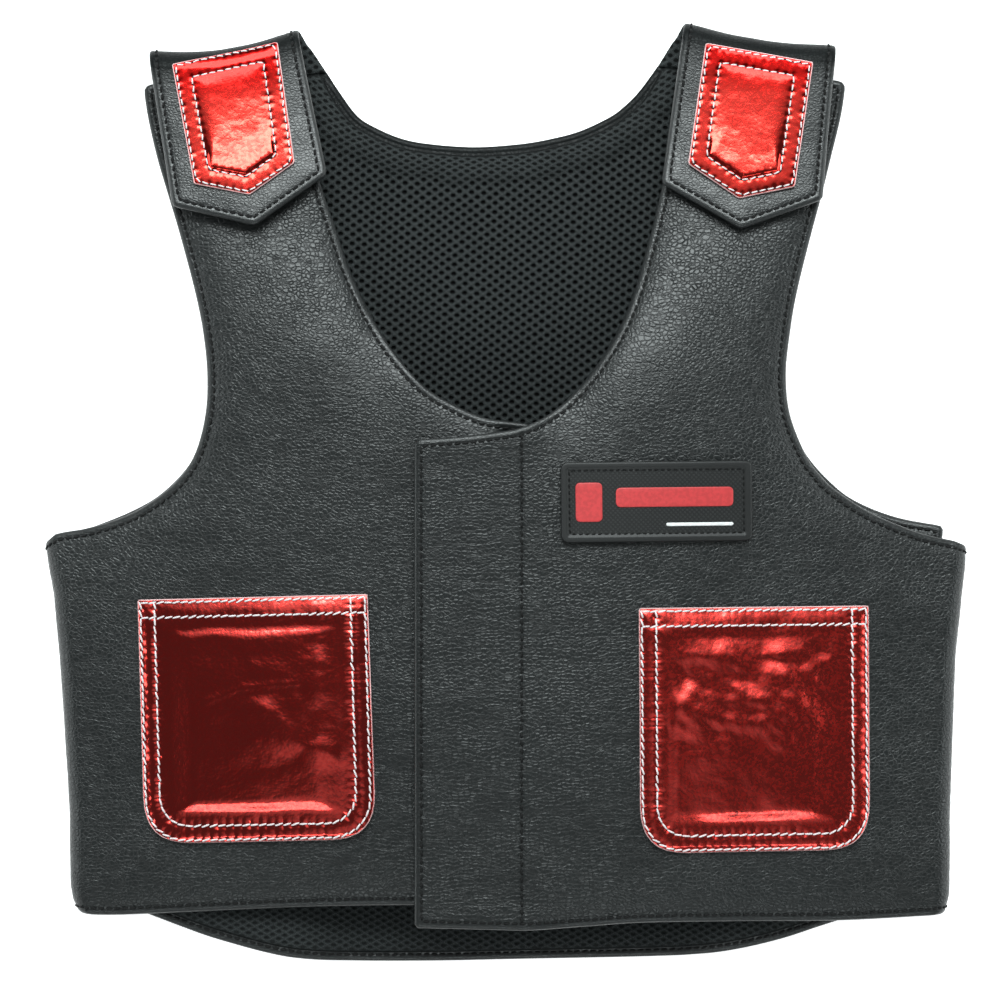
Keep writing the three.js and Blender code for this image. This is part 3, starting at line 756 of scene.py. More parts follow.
def outsideOf(side, x, y):
    if side == "right":
        return frontHeight(x, y)
    chest = frontPanels["chest"]
    near = np.hypot(x - chest["at"][0], y - chest["at"][1]) / chest["over"]
    lap = (1 - begins(x, lying["lapAcross"])) * (1 - begins(y, lying["lapUp"]))
    return frontHeight(x, y) + lapStep * lap + chest["high"] * bell(near)


def backUnderside(x, y):
    return backLift * begins(np.abs(x), lying["backRiseOut"]) * (1 - begins(y, lying["backRiseUp"]))


def backThickness(x, y):
    side = begins(np.abs(x), lying["backThinOut"]) * (1 - begins(y, lying["backThinUp"]))
    return between(lying["backPad"], lying["backSide"], side)


def padHalf(edge, thick, seam, pull):
    # half the thickness of a padded edge: a rolled rim, a sewn groove, then the swell of the foam
    rim = np.minimum(seam["rim"], 0.5 * thick)
    roll = rim * rounded(edge, seam["roll"])
    swell = 1 - fading((edge - seam["inset"]) / seam["rise"])
    groove = seam["groove"] * (1 - 0.5 * pull) * bell((edge - seam["inset"]) / seam["width"])
    return roll + (0.5 * thick - rim) * swell - groove


def beatOf(line, pitch):
    # the pitch that fits a whole number of stitches into a line
    length = travelOf(line)[-1]
    return length / max(1, round(length / pitch))


def stitchWave(points, line, pitch):
    # 1 at the needle holes of a seam and 0 between them
    _, place = lineDistance(points, line)
    return 0.5 + 0.5 * np.cos(2 * math.pi * place / beatOf(line, pitch))


panelSeam = {"inset": 3.9, "rim": 2.0, "roll": 2.7, "groove": 0.32, "width": 0.8, "rise": 18.0}
panelRings = (0.12, 0.4, 0.9, 1.5, 2.1, 7.0, 8.8, 11.2, 14.2, 18.0)
seamRings = (2.7, 3.2, 3.6, 4.1, 4.8, 5.7)


def puckers(points, lines, pitch, width, weights=None):
    # dimples along seams: deepest at the needle holes, fading to both sides
    pulled = np.zeros(len(points))
    for line, weight in zip(lines, weights or [1.0] * len(lines)):
        gap, place = lineDistance(points, line)
        beat = beatOf(line, pitch)
        number = np.round(place / beat).astype(int)
        reach = width * np.random.default_rng(17).uniform(0.5, 1.5, number.max() + 1)[number]
        wave = 0.25 + 0.75 * (0.5 + 0.5 * np.cos(2 * math.pi * place / beat)) ** 2
        wave *= np.random.default_rng(19).uniform(0.3, 1.2, number.max() + 1)[number]
        pulled = np.maximum(pulled, weight * wave * bell(gap / reach))
    return pulled


def seamField(lines, step, offsets):
    # points beside seams, close enough to carry their puckers
    made = []
    for line in lines:
        even = evenLine(line, step)
        along = np.gradient(even, axis=0)
        normal = np.column_stack([-along[:, 1], along[:, 0]]) / np.hypot(*along.T)[:, None]
        made += [even + normal * offset for offset in offsets]
    return np.vstack(made)


# Front panels. A flat pattern runs on past the side fold as the wing that lies under the back.

frontPanels = {
    "right": {
        "runs": [
            [(56, -230), (0, -231), (-51, -231.2), (-116, -232.9), (-180, -236.3), (-226, -238.4),
             (-262, -236.5), (-320, -233.5), (-386, -228)],
            [(-386, -228), (-400, -43)],
            [(-400, -43), (-340, -36.5), (-283, -30), (-265, -26.4), (-254, -22.8), (-245.9, -21.2),
             (-237.4, -19.8), (-220.5, -15), (-203.5, -7.1), (-186.6, 5.9), (-175.3, 21.7), (-169.1, 44.3),
             (-168, 66.9), (-170.2, 89.5), (-174.7, 112.1), (-183.8, 145.9), (-190.6, 168.5), (-197.3, 191.1),
             (-202.4, 213.7), (-205, 231)],
            [(-205, 231), (-118, 241)],
            [(-118, 241), (-113, 217), (-108.5, 192), (-104.4, 174.7), (-95.5, 148.8), (-86.7, 123.9),
             (-75, 99.4), (-61.3, 77.6), (-44.9, 59.6), (-27.1, 48.8), (-12.1, 42.6), (0.3, 40.5), (14, 38.5),
             (32, 34), (56, 27)],
            [(56, 27), (56, -230)],
        ],
        "radii": [14, 14, 5, 5, 4, 4],
        "seed": 11,
    },
    "left": {
        "runs": [
            [(-51, -243.2), (-15, -244.0), (15.5, -244.6), (45, -242.9), (77, -240.9), (130, -240.9),
             (186.6, -241.1), (236, -239), (270, -237), (330, -233.5), (393, -229)],
            [(393, -229), (400.5, -45)],
            [(400.5, -45), (340, -38), (283, -32), (266, -29), (253, -26.6), (238, -23.3), (227.1, -19.8),
             (205.2, -10.4), (186, 2), (177.6, 9.9), (169.1, 21.7), (160.1, 44.3), (157.8, 66.9),
             (160.1, 89.5), (164, 112.1), (172.5, 145.9), (178.7, 168.5), (184.3, 191.1), (189.8, 213.7),
             (192.8, 233)],
            [(192.8, 233), (102, 244.5)],
            [(102, 244.5), (98, 215), (93.2, 190.5), (88.7, 174.4), (84.2, 155.5), (79.3, 137.5), (72.6, 114),
             (63.2, 91.4), (51.2, 71.9), (43.7, 62.4), (36.3, 54.2), (30.2, 48.7), (23.7, 43.9), (16.2, 39.8),
             (6.3, 36.1), (-8.7, 33.7), (-23.4, 31.9), (-51, 30.0)],
            [(-51, 30.0), (-51, -243.2)],
        ],
        "radii": [14, 14, 5, 5, 3, 3],
        "seed": 12,
    },
    "spacing": 4.2,
    "placket": {"x": 9.0, "groove": 0.5, "width": 1.3, "below": 42, "seam": (34.0, -241.0)},
    "dents": {"size": 70, "deep": 0.8, "fineSize": 16, "fineDeep": 0.28, "from": (6, 14)},
    "chest": {"at": (128, 28), "over": 47.0, "high": 3.0},     # the left one stands out a little here
    # the panels bend down towards their edges, more so at the neck, and not where they lap
    "fall": {"deep": 2.6, "over": 45.0, "neck": {"right": 4.4, "left": 3.2}, "shoulder": (120, 60),
             "lap": {"right": (-80, 35), "left": (10, 35)}},
}


def placeFront(side):
    sign = signOf[side]

    def place(u, v, h):
        fold = foldAt(side, v)
        past = sign * u - fold
        angle = np.clip(past / sideRadius, 0, math.pi)
        radius = sideRadius + h
        wing = np.maximum(past - math.pi * sideRadius, 0)
        x = np.where(past <= 0, u, sign * (fold + radius * np.sin(angle) - wing))
        z = np.where(past <= 0, outsideOf(side, u, v) + h, sideRadius + radius * np.cos(angle))
        return np.column_stack([x, v, z])

    return place


def frontFaces(side, seam):
    made = frontPanels[side]
    dents = frontPanels["dents"]
    placket = frontPanels["placket"]
    fall = frontPanels["fall"]
    sign = signOf[side]
    neckLine = smoothLine(made["runs"][4])

    def faces(u, v, edge):
        points = np.column_stack([u, v])
        past = np.clip((sign * u - foldAt(side, v)) / (math.pi * sideRadius), 0, 1)
        thin = np.maximum(begins(np.abs(u), lying["frontThinOut"]), begins(v, lying["frontThinUp"]))
        thick = between(lying["pad"], lying["sidePad"], thin)
        thick = between(thick, lying["wing"], past)
        drop = fall["deep"] * fading(edge / fall["over"]) * (1 - past)
        drop += fall["neck"][side] * fading(gapTo(points, neckLine) / fall["over"])
        drop *= 1 - begins(v, fall["shoulder"])
        outward = begins(u, fall["lap"][side])
        if side == "right":
            tab = begins(u, lying["tabAcross"]) * (1 - begins(v, lying["tabUp"]))
            drop = drop * (1 - outward) + lying["tabDrop"] * tab
            thick = between(thick, lying["tab"], tab)
        else:
            flap = (1 - begins(u, lying["flapAcross"])) * (1 - begins(v, lying["flapUp"]))
            drop = drop * outward
            thick = between(thick, lying["flap"], flap)
        half = padHalf(edge, thick, panelSeam, stitchWave(points, seam, blackThread["pitch"]))
        inner = begins(edge, dents["from"]) * (1 - past)
        dent = dents["deep"] * (0.5 + 0.5 * cloud(u, v, dents["size"], made["seed"]))
        dent += dents["fineDeep"] * (1 + cloud(u * 0.6, v, dents["fineSize"], made["seed"] + 40))
        top = -drop - 0.5 * thick + half - dent * inner
        if side == "left":
            line = bell((u - placket["x"]) / placket["width"]) * (v < placket["below"])
            top = top - placket["groove"] * line * ease(edge / 3)
        bottom = -drop - 0.5 * thick - half
        return top, np.minimum(bottom, top)

    return faces


def buildFront(side):
    made = frontPanels[side]
    outline = closedOutline(made["runs"], made["radii"], 1.3)
    seam = closed(insetLoop(outline, panelSeam["inset"]))
    seams = [seam]
    extra = None
    if side == "left":
        placket = frontPanels["placket"]
        seams.append(smoothLine([(placket["x"], y) for y in placket["seam"]]))
        extra = seamField(seams[1:], 2.2, (-4.0, -2.4, -1.2, 0, 1.2, 2.4, 4.0))
    lay = layOut(outline, panelRings, frontPanels["spacing"], extra, seamRings)
    place = placeFront(side)
    faces = frontFaces(side, seam)
    piece = shellPiece(f"frontPad{side.title()}", lay, faces, place, [panelLeather, innerKnit])
    standFor(f"front_panel_{side}")
    sew(f"frontStitches{side.title()}", seams, blackThread, place, heightBy(faces, outline))
    print("front panel", side, len(piece.data.polygons), "faces")


for side in ("right", "left"):
    buildFront(side)


# Back panel and its knitted lining

backShape = {
    "runs": [
        [(-211, -235), (-186.6, -244.2), (-169.7, -250.4), (-152.7, -255.5), (-135.8, -260), (-118.8, -263.2),
         (-93.4, -265.2), (-42.6, -265.4), (8.2, -264.4), (84.4, -262.8), (109.8, -261.1), (126.8, -258.9),
         (143.7, -255.5), (160.6, -251), (177.6, -245.3), (213, -234)],
        [(213, -234), (233, -221), (238, -204), (239, -160), (241, -115), (243, -75), (245, -47),
         (248.5, -18.5)],
        [(248.5, -18.5), (222, -13.5), (200, -5), (186, 5), (171, 22), (160, 44), (157, 67), (159, 90),
         (163, 112), (172, 146), (178, 169), (182, 188), (185, 205), (183, 228.3)],
        [(183, 228.3), (86.6, 242.9)],
        [(86.6, 242.9), (75.9, 228.4), (67.5, 219.9), (59, 213.7), (42.1, 205.8), (25.1, 201.3),
         (8.2, 198.5), (-17.2, 196.8), (-42.6, 198.5), (-59.6, 201.8), (-76.5, 209.2), (-85, 215.4),
         (-94.0, 227.6), (-101.6, 239.2)],
        [(-101.6, 239.2), (-197.4, 225.25)],
        [(-197.4, 225.25), (-198.5, 205), (-196, 188), (-190, 169), (-183, 146), (-174, 112), (-169, 90),
         (-167, 67), (-168, 44), (-178, 19), (-194, 1), (-212, -10), (-237, -20), (-249, -24)],
        [(-249, -24), (-244, -47), (-241, -75), (-238, -115), (-235, -160), (-233, -204), (-228, -221),
         (-211, -235)],
    ],
    "radii": [3, 3, 2, 0.4, 0.4, 2, 3, 3],
    "neck": 4, "shoulders": (3, 5),     # which runs these are
    "sink": {"deep": 2.8, "over": 12},     # the shoulder ends are pressed thinner
    "row": 3.7,       # stitches from the edge
    "collar": 5.4,    # smooth band along the neck
    "spacing": 5.0,
    "seam": {"inset": 3.9, "rim": 2.0, "roll": 2.7, "groove": 0.3, "width": 0.8, "rise": 14.0},
}
neckRun = smoothLine(backShape["runs"][backShape["neck"]])
shoulderRuns = [smoothLine(backShape["runs"][k]) for k in backShape["shoulders"]]


def placeBack(u, v, h):
    return np.column_stack([u, v, backUnderside(u, v) + h])


def backFaces(u, v, edge):
    # the shoulder ends are sewn to the straps, so they stay square
    thick = backThickness(u, v)
    points = np.column_stack([u, v])
    low = np.zeros(len(u))
    for run in shoulderRuns:
        gap = gapTo(points, run)
        edge = np.where(gap <= edge + 0.05, 8.0 * edge, edge)
        low = np.maximum(low, backShape["sink"]["deep"] * fading(gap / backShape["sink"]["over"]))
    half = padHalf(edge, thick, backShape["seam"], 0.0)
    return 0.5 * thick + half - low, 0.5 * thick - half


backOutline = closedOutline(backShape["runs"], backShape["radii"], 1.3)
backLay = layOut(backOutline, panelRings, backShape["spacing"], None, seamRings)
backPiece = shellPiece("backPad", backLay, backFaces, placeBack, [panelLeather])
standFor("back_panel")
backPiece.data.materials.append(collarLeather)
centres = np.array([face.center[:2] for face in backPiece.data.polygons]) / mm
onCollar = gapTo(centres, neckRun) < backShape["collar"]
backPiece.data.polygons.foreach_set("material_index", onCollar.astype(np.int32))
backSeamHeight = heightAt(backFaces, backShape["row"])
backUnderHeight = heightAt(backFaces, backShape["row"], 1)


def placeBackUnder(u, v, h):
    # the same place with the height counted down from the underside
    return placeBack(u, v, 2 * backUnderHeight(u, v) - h)


# no stitches where the straps are sewn on, and none seen along the neck
backLoop = insetLoop(backOutline, backShape["row"])
away = np.min([gapTo(backLoop, run) for run in shoulderRuns], axis=0) > backShape["row"] + 0.6
plain = gapTo(backLoop, neckRun) > backShape["row"] + 0.6
upper = keptRuns(backLoop, away & plain)
under = keptRuns(backLoop, away)
sew("backStitches", upper, blackThread, placeBack, backSeamHeight)
sew("backStitchesUnder", under, blackThread, placeBackUnder, backUnderHeight)
print("back panel", len(backPiece.data.polygons), "faces")


liningShape = {
    "inset": 4.6,
    "across": 6.9,                  # spacing of the holes along a row
    "turn": -4.0,                   # degrees that the rows slope
    "wide": 1.55, "tall": 1.2,      # half sizes of a hole
    "deep": 1.2,
    "floor": 0.8,                   # size of a hole's floor against its rim
    "bare": 3.2, "bareFade": 1.2,   # plain band along the edge
    "tail": -190, "tailDeep": 0.35,     # shallower holes from here down
    "edgeFall": 12.0, "edgeDrop": 3.4,     # the knit turns down towards its edge
    "shoulders": {3: (0.69, 4.54), 5: (-0.66, 4.54)},     # it runs on to the straps' seams there
    "squash": {"over": 16.0, "by": 6.5},     # its rows crowd together where it turns over the neck edge
    # where the holes are modelled: corners, and the spacing of the rows there
    "seen": [{"from": (-125, 20), "to": (115, 250), "rows": 2.6},
             {"from": (-240, -280), "to": (240, -213), "rows": 2.0}],
    "rings": (0.3, 0.9, 1.8, 3.0), "spacing": 9.0,
}


def knitCentres(outline):
    across = liningShape["across"]
    angle = math.radians(liningShape["turn"])
    made = []
    for zone in liningShape["seen"]:
        (lowX, lowY), (highX, highY) = zone["from"], zone["to"]
        rows = np.arange(math.floor(lowY / zone["rows"]) - 12, math.ceil(highY / zone["rows"]) + 12)
        columns = np.arange(math.floor(lowX / across) - 4, math.ceil(highX / across) + 4)
        u, v = np.meshgrid(columns.astype(float), rows.astype(float))
        u = (u + 0.5 * (rows % 2)[:, None]) * across
        v = v * zone["rows"]
        x = (u * math.cos(angle) - v * math.sin(angle)).ravel()
        y = (u * math.sin(angle) + v * math.cos(angle)).ravel()
        kept = (x > lowX) & (x < highX) & (y > lowY) & (y < highY)
        spots = np.column_stack([x, y])[kept]
        made.append((spots, np.full(len(spots), zone["rows"] / liningShape["seen"][0]["rows"])))
    centres = np.vstack([spots for spots, _ in made])
    squeeze = np.concatenate([share for _, share in made])
    flat = gapTo(centres, neckRun) > liningShape["inset"] + liningShape["squash"]["over"]
    apart = gapTo(centres, closed(outline)) > liningShape["bare"]
    kept = insideOf(centres, outline) & apart & flat
    return centres[kept], squeeze[kept]


def buildLining():
    runs = [np.array(run, float) for run in backShape["runs"]]
    for number, shift in liningShape["shoulders"].items():
        runs[number] += shift
        runs[number - 1][-1] += shift
        runs[number + 1][0] += shift
    around = closedOutline(runs, backShape["radii"], 1.3)
    outline = evenLine(closed(insetLoop(around, liningShape["inset"])), 3.0)[:-1]
    centres, squeeze = knitCentres(outline)
    turn = np.arange(6) * math.pi / 3
    oval = np.column_stack([liningShape["wide"] * np.cos(turn), liningShape["tall"] * np.sin(turn)])
    ovals = oval[None] * np.column_stack([np.ones(len(squeeze)), squeeze])[:, None]
    rims = (centres[:, None] + ovals).reshape(-1, 2)
    floors = (centres[:, None] + liningShape["floor"] * ovals).reshape(-1, 2)
    spots = np.vstack([rims, floors, centres])
    lay = layOut(outline, liningShape["rings"], liningShape["spacing"], spots)
    _, which = nearest(lay["points"], centres)
    offset = (lay["points"] - centres[which]) / np.column_stack(
        [np.full(len(which), liningShape["wide"]), liningShape["tall"] * squeeze[which]])
    pit = 1 - ease((np.hypot(*offset.T) - liningShape["floor"]) / 0.2)

    def faces(u, v, edge):
        thick = backThickness(u, v)
        seat = lying["laidGap"] + thick - liningShape["edgeDrop"] * fading(edge / liningShape["edgeFall"])
        deep = np.where(v < liningShape["tail"], liningShape["tailDeep"], 1.0) * liningShape["deep"]
        top = seat + lying["lining"] * thinning(edge, 1.5) - deep * pit * (edge > 2)
        return top, seat * np.ones_like(u)

    piece = shellPiece("backLining", lay, faces, placeBack, [liningKnit])
    under = np.count_nonzero(~lay["rim"])
    squash = liningShape["squash"]
    near = fading((gapTo(lay["points"], neckRun) - liningShape["inset"]) / squash["over"])
    bare = ease((lay["edge"] - liningShape["bare"] + 2.4) / liningShape["bareFade"])
    keepValue(piece, "tail", lay["points"][:, 1] < liningShape["tail"], np.zeros(under))
    keepValue(piece, "bare", bare, np.ones(under))
    keepValue(piece, "squash", squash["by"] * near, np.zeros(under))
    standFor("back_lining")
    print("lining", len(centres), "holes", len(piece.data.polygons), "faces")


buildLining()


# Straps folded over the shoulders, with their foil patches. A strap's own coordinates are the distance
# across from its outer edge, and along its outside from the end of the fold.

straps = {
    "right": {
        "outer": (-201.2, 251.8), "inner": (-117.2, 264.0),
        "flare": 11.9, "sag": 6.0, "bow": 0.7, "lift": 1.6, "arch": 0.8,
        "ends": [(0.6, 91.4), (45.3, 109.2), (89.4, 86.4)],
        "patch": [(11.6, -1.0), (72.5, -5.3), (72.5, 64.4), (44.8, 78.8), (14.6, 68.1)],
    },
    "left": {
        "outer": (187.0, 254.8), "inner": (101.3, 267.8),
        "flare": 10.8, "sag": 4.1, "bow": 0.75, "lift": -0.8, "arch": 1.7,
        "ends": [(-5.0, 89.8), (38.3, 113.4), (86.1, 94.6)],
        "patch": [(11.6, 0.9), (73.4, -0.7), (73.1, 68.7), (42.0, 83.8), (11.6, 72.4)],
    },
    "seamLength": 14.2, "sewnGap": 0.05,
    "bulge": {"high": 1.0, "over": 13.0},     # the strap stands up past its fold
    "turns": (-1.0, 1.5, 4.5, 8.0, 12.0),     # from the fold: bands of painted shade, less shiny towards the shoulder
    "seam": {"inset": 4.2, "rim": 2.1, "roll": 2.9, "groove": 0.32, "width": 0.8, "rise": 9.0},
    "rings": (0.12, 0.4, 0.9, 1.5, 2.1, 7.0, 9.0, 11.5), "spacing": 3.6,
    "dent": {"deep": 0.3, "size": 12, "seed": 31, "from": (4, 6)},
}
patchShape = {
    "inset": 10.2, "raise": 0.9, "ramp": 8.0, "lowRamp": 1.3, "wedge": 1.7,
    "low": (0.55, 0.2), "wedgeFrom": 0.35,     # shares of its length
    "rows": (1.8, 9.6), "beside": (-2.4, -1.6, -0.8, 0, 0.8, 1.6, 2.4),
    "pucker": 0.32, "puckerWidth": 1.6,
    "bend": (2, 24),     # past the fold, where its painted shade fades out
    "rings": (0.15, 0.5, 1.0), "spacing": 1.7,
}
foilEdge = 0.7     # reach of the foil's soft edge
strapRadius = (shoulderTop + lying["tape"] + 2 * lying["gap"] + lying["strap"]) / 2


def strapWidth(side):
    return math.dist(straps[side]["outer"], straps[side]["inner"])


def foldStart(side, u):
    # the middle of the strap bends over lower down, so the folded edge hangs in a shallow curve
    share = np.clip(u / strapWidth(side), 0, 1)
    return straps[side]["sag"] * 4 * share * (1 - share)


def placeStrap(side):
    outer = np.array(straps[side]["outer"])
    across = (np.array(straps[side]["inner"]) - outer) / strapWidth(side)
    along = signOf[side] * np.array([-across[1], across[0]])
    over = lying["tape"] + 2 * lying["gap"] + lying["strap"]
    flat = straps["seamLength"] - straps["sewnGap"]

    def place(u, v, h):
        start = foldStart(side, u)
        angle = np.clip((start - v) / strapRadius, 0, math.pi)
        behind = np.maximum(start - v - math.pi * strapRadius, 0) * (flat - start) / (flat + start)
        ahead = np.maximum(v - start, 0)
        reach = strapRadius + start - (strapRadius + h) * np.sin(angle) + behind + ahead
        plan = outer + np.outer(u, across) + np.outer(reach, along)
        turned = strapRadius + (strapRadius + h) * np.cos(angle)
        bulge = straps["bulge"]["high"] * (1 - np.exp(-ahead / straps["bulge"]["over"]))
        bulge += straps[side]["lift"] * (0.6 * ease(ahead / 75) + 0.4 * np.clip(ahead / 100, 0, 1))
        laid = frontHeight(*plan.T) + over + bulge
        z = np.where(v >= start, laid + h, turned)
        return np.column_stack([plan, z])

    return place


def strapOutline(side):
    made = straps[side]
    width = strapWidth(side)
    outerEnd, tipEnd, innerEnd = ((u, length - strapRadius) for u, length in made["ends"])
    fold = -math.pi * strapRadius
    back = fold - straps["seamLength"] + straps["sewnGap"]
    wide = width + made["flare"]
    runs = [
        [(0, back), (-made["bow"], 0), outerEnd],
        [outerEnd, tipEnd],
        [tipEnd, innerEnd],
        [innerEnd, (width, 0), (width, fold / 2), (width + 0.22 * made["flare"], 0.85 * fold),
         (width + 0.44 * made["flare"], fold), (wide, back)],
        [(wide, back), (0, back)],
    ]
    return closedOutline(runs, [2.4, 2.4, 2.4, 0.4, 0.4], 1.3), back


def strapFaces(seam, back):
    def faces(u, v, edge):
        edge = np.where(v - back <= edge + 0.05, 8.0 * edge, edge)     # square at the seam to the back
        pull = stitchWave(np.column_stack([u, v]), seam, blackThread["pitch"])
        half = padHalf(edge, lying["strap"], straps["seam"], pull)
        rough = straps["dent"]
        dent = rough["deep"] * (1 + cloud(u, v, rough["size"], rough["seed"])) * begins(edge, rough["from"])
        top = -0.5 * lying["strap"] + half - dent
        return top, np.minimum(-0.5 * lying["strap"] - half, top)

    return faces


def buildStrap(side):
    place = placeStrap(side)
    outline, back = strapOutline(side)
    inset = straps["seam"]["inset"]
    seam = closed(insetLoop(outline, inset))
    faces = strapFaces(seam, back)
    across = np.linspace(0, strapWidth(side), 80)
    turnLines = [np.column_stack([across, foldStart(side, across) + turn]) for turn in straps["turns"]]
    lay = layOut(outline, straps["rings"], straps["spacing"], seamField(turnLines, 1.2, (0.0,)), seamRings)

    def turned(u, v):
        number = np.searchsorted(straps["turns"], v - foldStart(side, u))
        return np.where(number < len(foldShadeLeathers), 2 + number, 0)

    # shaded copies of the strap leather paint shade over the fold
    leathers = [strapLeather, innerKnit, *foldShadeLeathers]
    piece = shellPiece(f"strapPad{side.title()}", lay, faces, place, leathers, turned)
    standFor(f"shoulder_strap_{side}")
    lines = keptRuns(seam[:-1], seam[:-1, 1] > back + inset + 0.6)
    sew(f"strapStitches{side.title()}", lines, blackThread, place, heightAt(faces, inset))
    buildPatch(side, place)
    print("strap", side, len(piece.data.polygons), "faces")


def buildPatch(side, place):
    corners = straps[side]["patch"]
    runs = [[corners[k], corners[(k + 1) % 5]] for k in range(5)]
    outline = closedOutline(runs, [0.8] * 5, 1.5)
    top, low = min(v for _, v in corners), max(v for _, v in corners)
    seams = [closed(insetLoop(outline, row)) for row in patchShape["rows"]]
    beside = seamField(seams, 0.8, patchShape["beside"])
    lay = layOut(outline, patchShape["rings"], patchShape["spacing"], beside)

    def faces(u, v, edge):
        points = np.column_stack([u, v])
        down = np.clip((v - top) / (low - top), 0, 1)
        ramp = between(patchShape["ramp"], patchShape["lowRamp"], begins(down, patchShape["low"]))
        climb = np.clip((edge - patchShape["inset"]) / ramp, 0, 1)
        below = np.clip((down - patchShape["wedgeFrom"]) / (1 - patchShape["wedgeFrom"]), 0, 1)
        swell = patchShape["raise"] * (1 - fading(climb)) * (0.3 + 0.7 * ease(down))
        swell += patchShape["wedge"] * climb * below ** 2
        swell += straps[side]["arch"] * np.sin(math.pi * down ** 1.5)     # the whole patch is bowed
        crease = 0.03 * cloud(u, v, 6, 51) + 0.12 * np.abs(cloud(u, v, 17, 52))
        crease += 0.025 * cloud(u, v, 3.2, 53)
        pulled = puckers(points, seams, whiteThread["pitch"], patchShape["puckerWidth"])
        flat = lying["laidGap"] + lying["foil"] * thinning(edge, foilEdge) + swell
        outside = flat + (crease - patchShape["pucker"] * pulled) * ease(edge / 2)
        return outside, np.minimum(np.full_like(u, 0.15), outside - 0.1)

    piece = shellPiece(f"patchFoil{side.title()}", lay, faces, place, [patchFoil])
    across, along = lay["points"].T
    # painted shade over the fold, fading out past it
    bent = 1 - begins(along - foldStart(side, across), patchShape["bend"])
    keepValue(piece, "bent", bent, bent[~lay["rim"]])
    standFor(f"shoulder_patch_{side}")
    height = heightBy(faces, outline)
    threads = sew(f"patchStitches{side.title()}", seams, patchThread, place, height)


for side in ("right", "left"):
    buildStrap(side)


# Pockets, sewn on three sides, with a stiff sheet inside that shows as a raised rectangle

pocketShape = {
    "width": 130.4, "height": 137.8, "corner": 23.0,
    "right": {
        "x": -142.2, "y": -58.0, "turn": 1.6, "seed": 61, "spread": 1.2,
        "crumple": (0.65, 0.42), "calm": (-30, 30), "pillow": 0.3,
        "ramp": {"side": (13.0, 14.0), "top": 4.6, "bottom": 6.9}, "topShare": 1.0, "lowShare": 2.0,
        "stand": (1.3, 2.1), "rise": 3.2,
        "folds": [([(-27, -58), (-6, -51), (24, -49)], 0.35, 1.6),
                  ([(4, -62), (20, -80), (42, -88)], 0.8, 7.0)],
    },
    "left": {
        "x": 139.4, "y": -63.5, "turn": 0.4, "seed": 71, "spread": 0.0,
        "crumple": (1.5, 0.4), "calm": (-200, -150), "pillow": 2.7,
        "ramp": {"side": (4.0, 16.0), "top": 2.0, "bottom": 6.6}, "topShare": 0.1, "lowShare": 1.0,
        "stand": (2.4, 1.4), "rise": 4.0,
        "folds": [([(-8, -33), (22, -38), (44, -30)], 0.7, 5.0),
                  ([(-40, -55), (-5, -66), (22, -58)], 0.7, 6.0)],
    },
    "sewn": (1.8, 9.8),          # rows of stitches from the side and bottom edges
    "hem": (2.0, 10.4),          # and from the top edge
    "beside": (-2.7, -1.8, -0.9, 0, 0.9, 1.8, 2.7),
    "board": {"side": 16.6, "top": 17.2, "bottom": 16.4, "raise": 1.1, "lean": 45,
              "pillowMiddle": 58, "pillowSide": 42},
    "sideRise": 8.0,
    "pucker": 0.85, "puckerWidth": 2.6, "puckerShare": [0.8, 1.0, 0.15, 0.27],
    "welt": {"at": 6.2, "over": 2.6, "high": 0.15},     # the foil puffs up between the two rows
    "rings": (0.15, 0.5, 1.0), "spacing": 1.9,
}


def placeLaid(side, spot):
    angle = math.radians(spot["turn"])
    cos = math.cos(angle)
    sin = math.sin(angle)

    def place(u, v, h):
        x = spot["x"] + u * cos - v * sin
        y = spot["y"] + u * sin + v * cos
        return np.column_stack([x, y, outsideOf(side, x, y) + h])

    return place


def pocketSeams():
    half = pocketShape["width"] / 2
    tall = pocketShape["height"]
    made = []
    for row in pocketShape["sewn"]:
        corner = pocketShape["corner"] - row * 0.7
        side = half - row
        low = row - tall
        turn = np.linspace(0, math.pi / 2, 12)[:, None]
        first = np.array([corner - side, low + corner]) - corner * np.hstack([np.cos(turn), np.sin(turn)])
        second = (first * [-1, 1])[::-1]
        top = -1.2
        made.append(evenLine(np.vstack([[(-side, top)], first, second, [(side, top)]]), 1.0))
    first, second = pocketShape["hem"]
    inset = half - pocketShape["sewn"][0]
    made += [smoothLine([(-inset, -row), (inset, -row)]) for row in (first, second)]
    return made


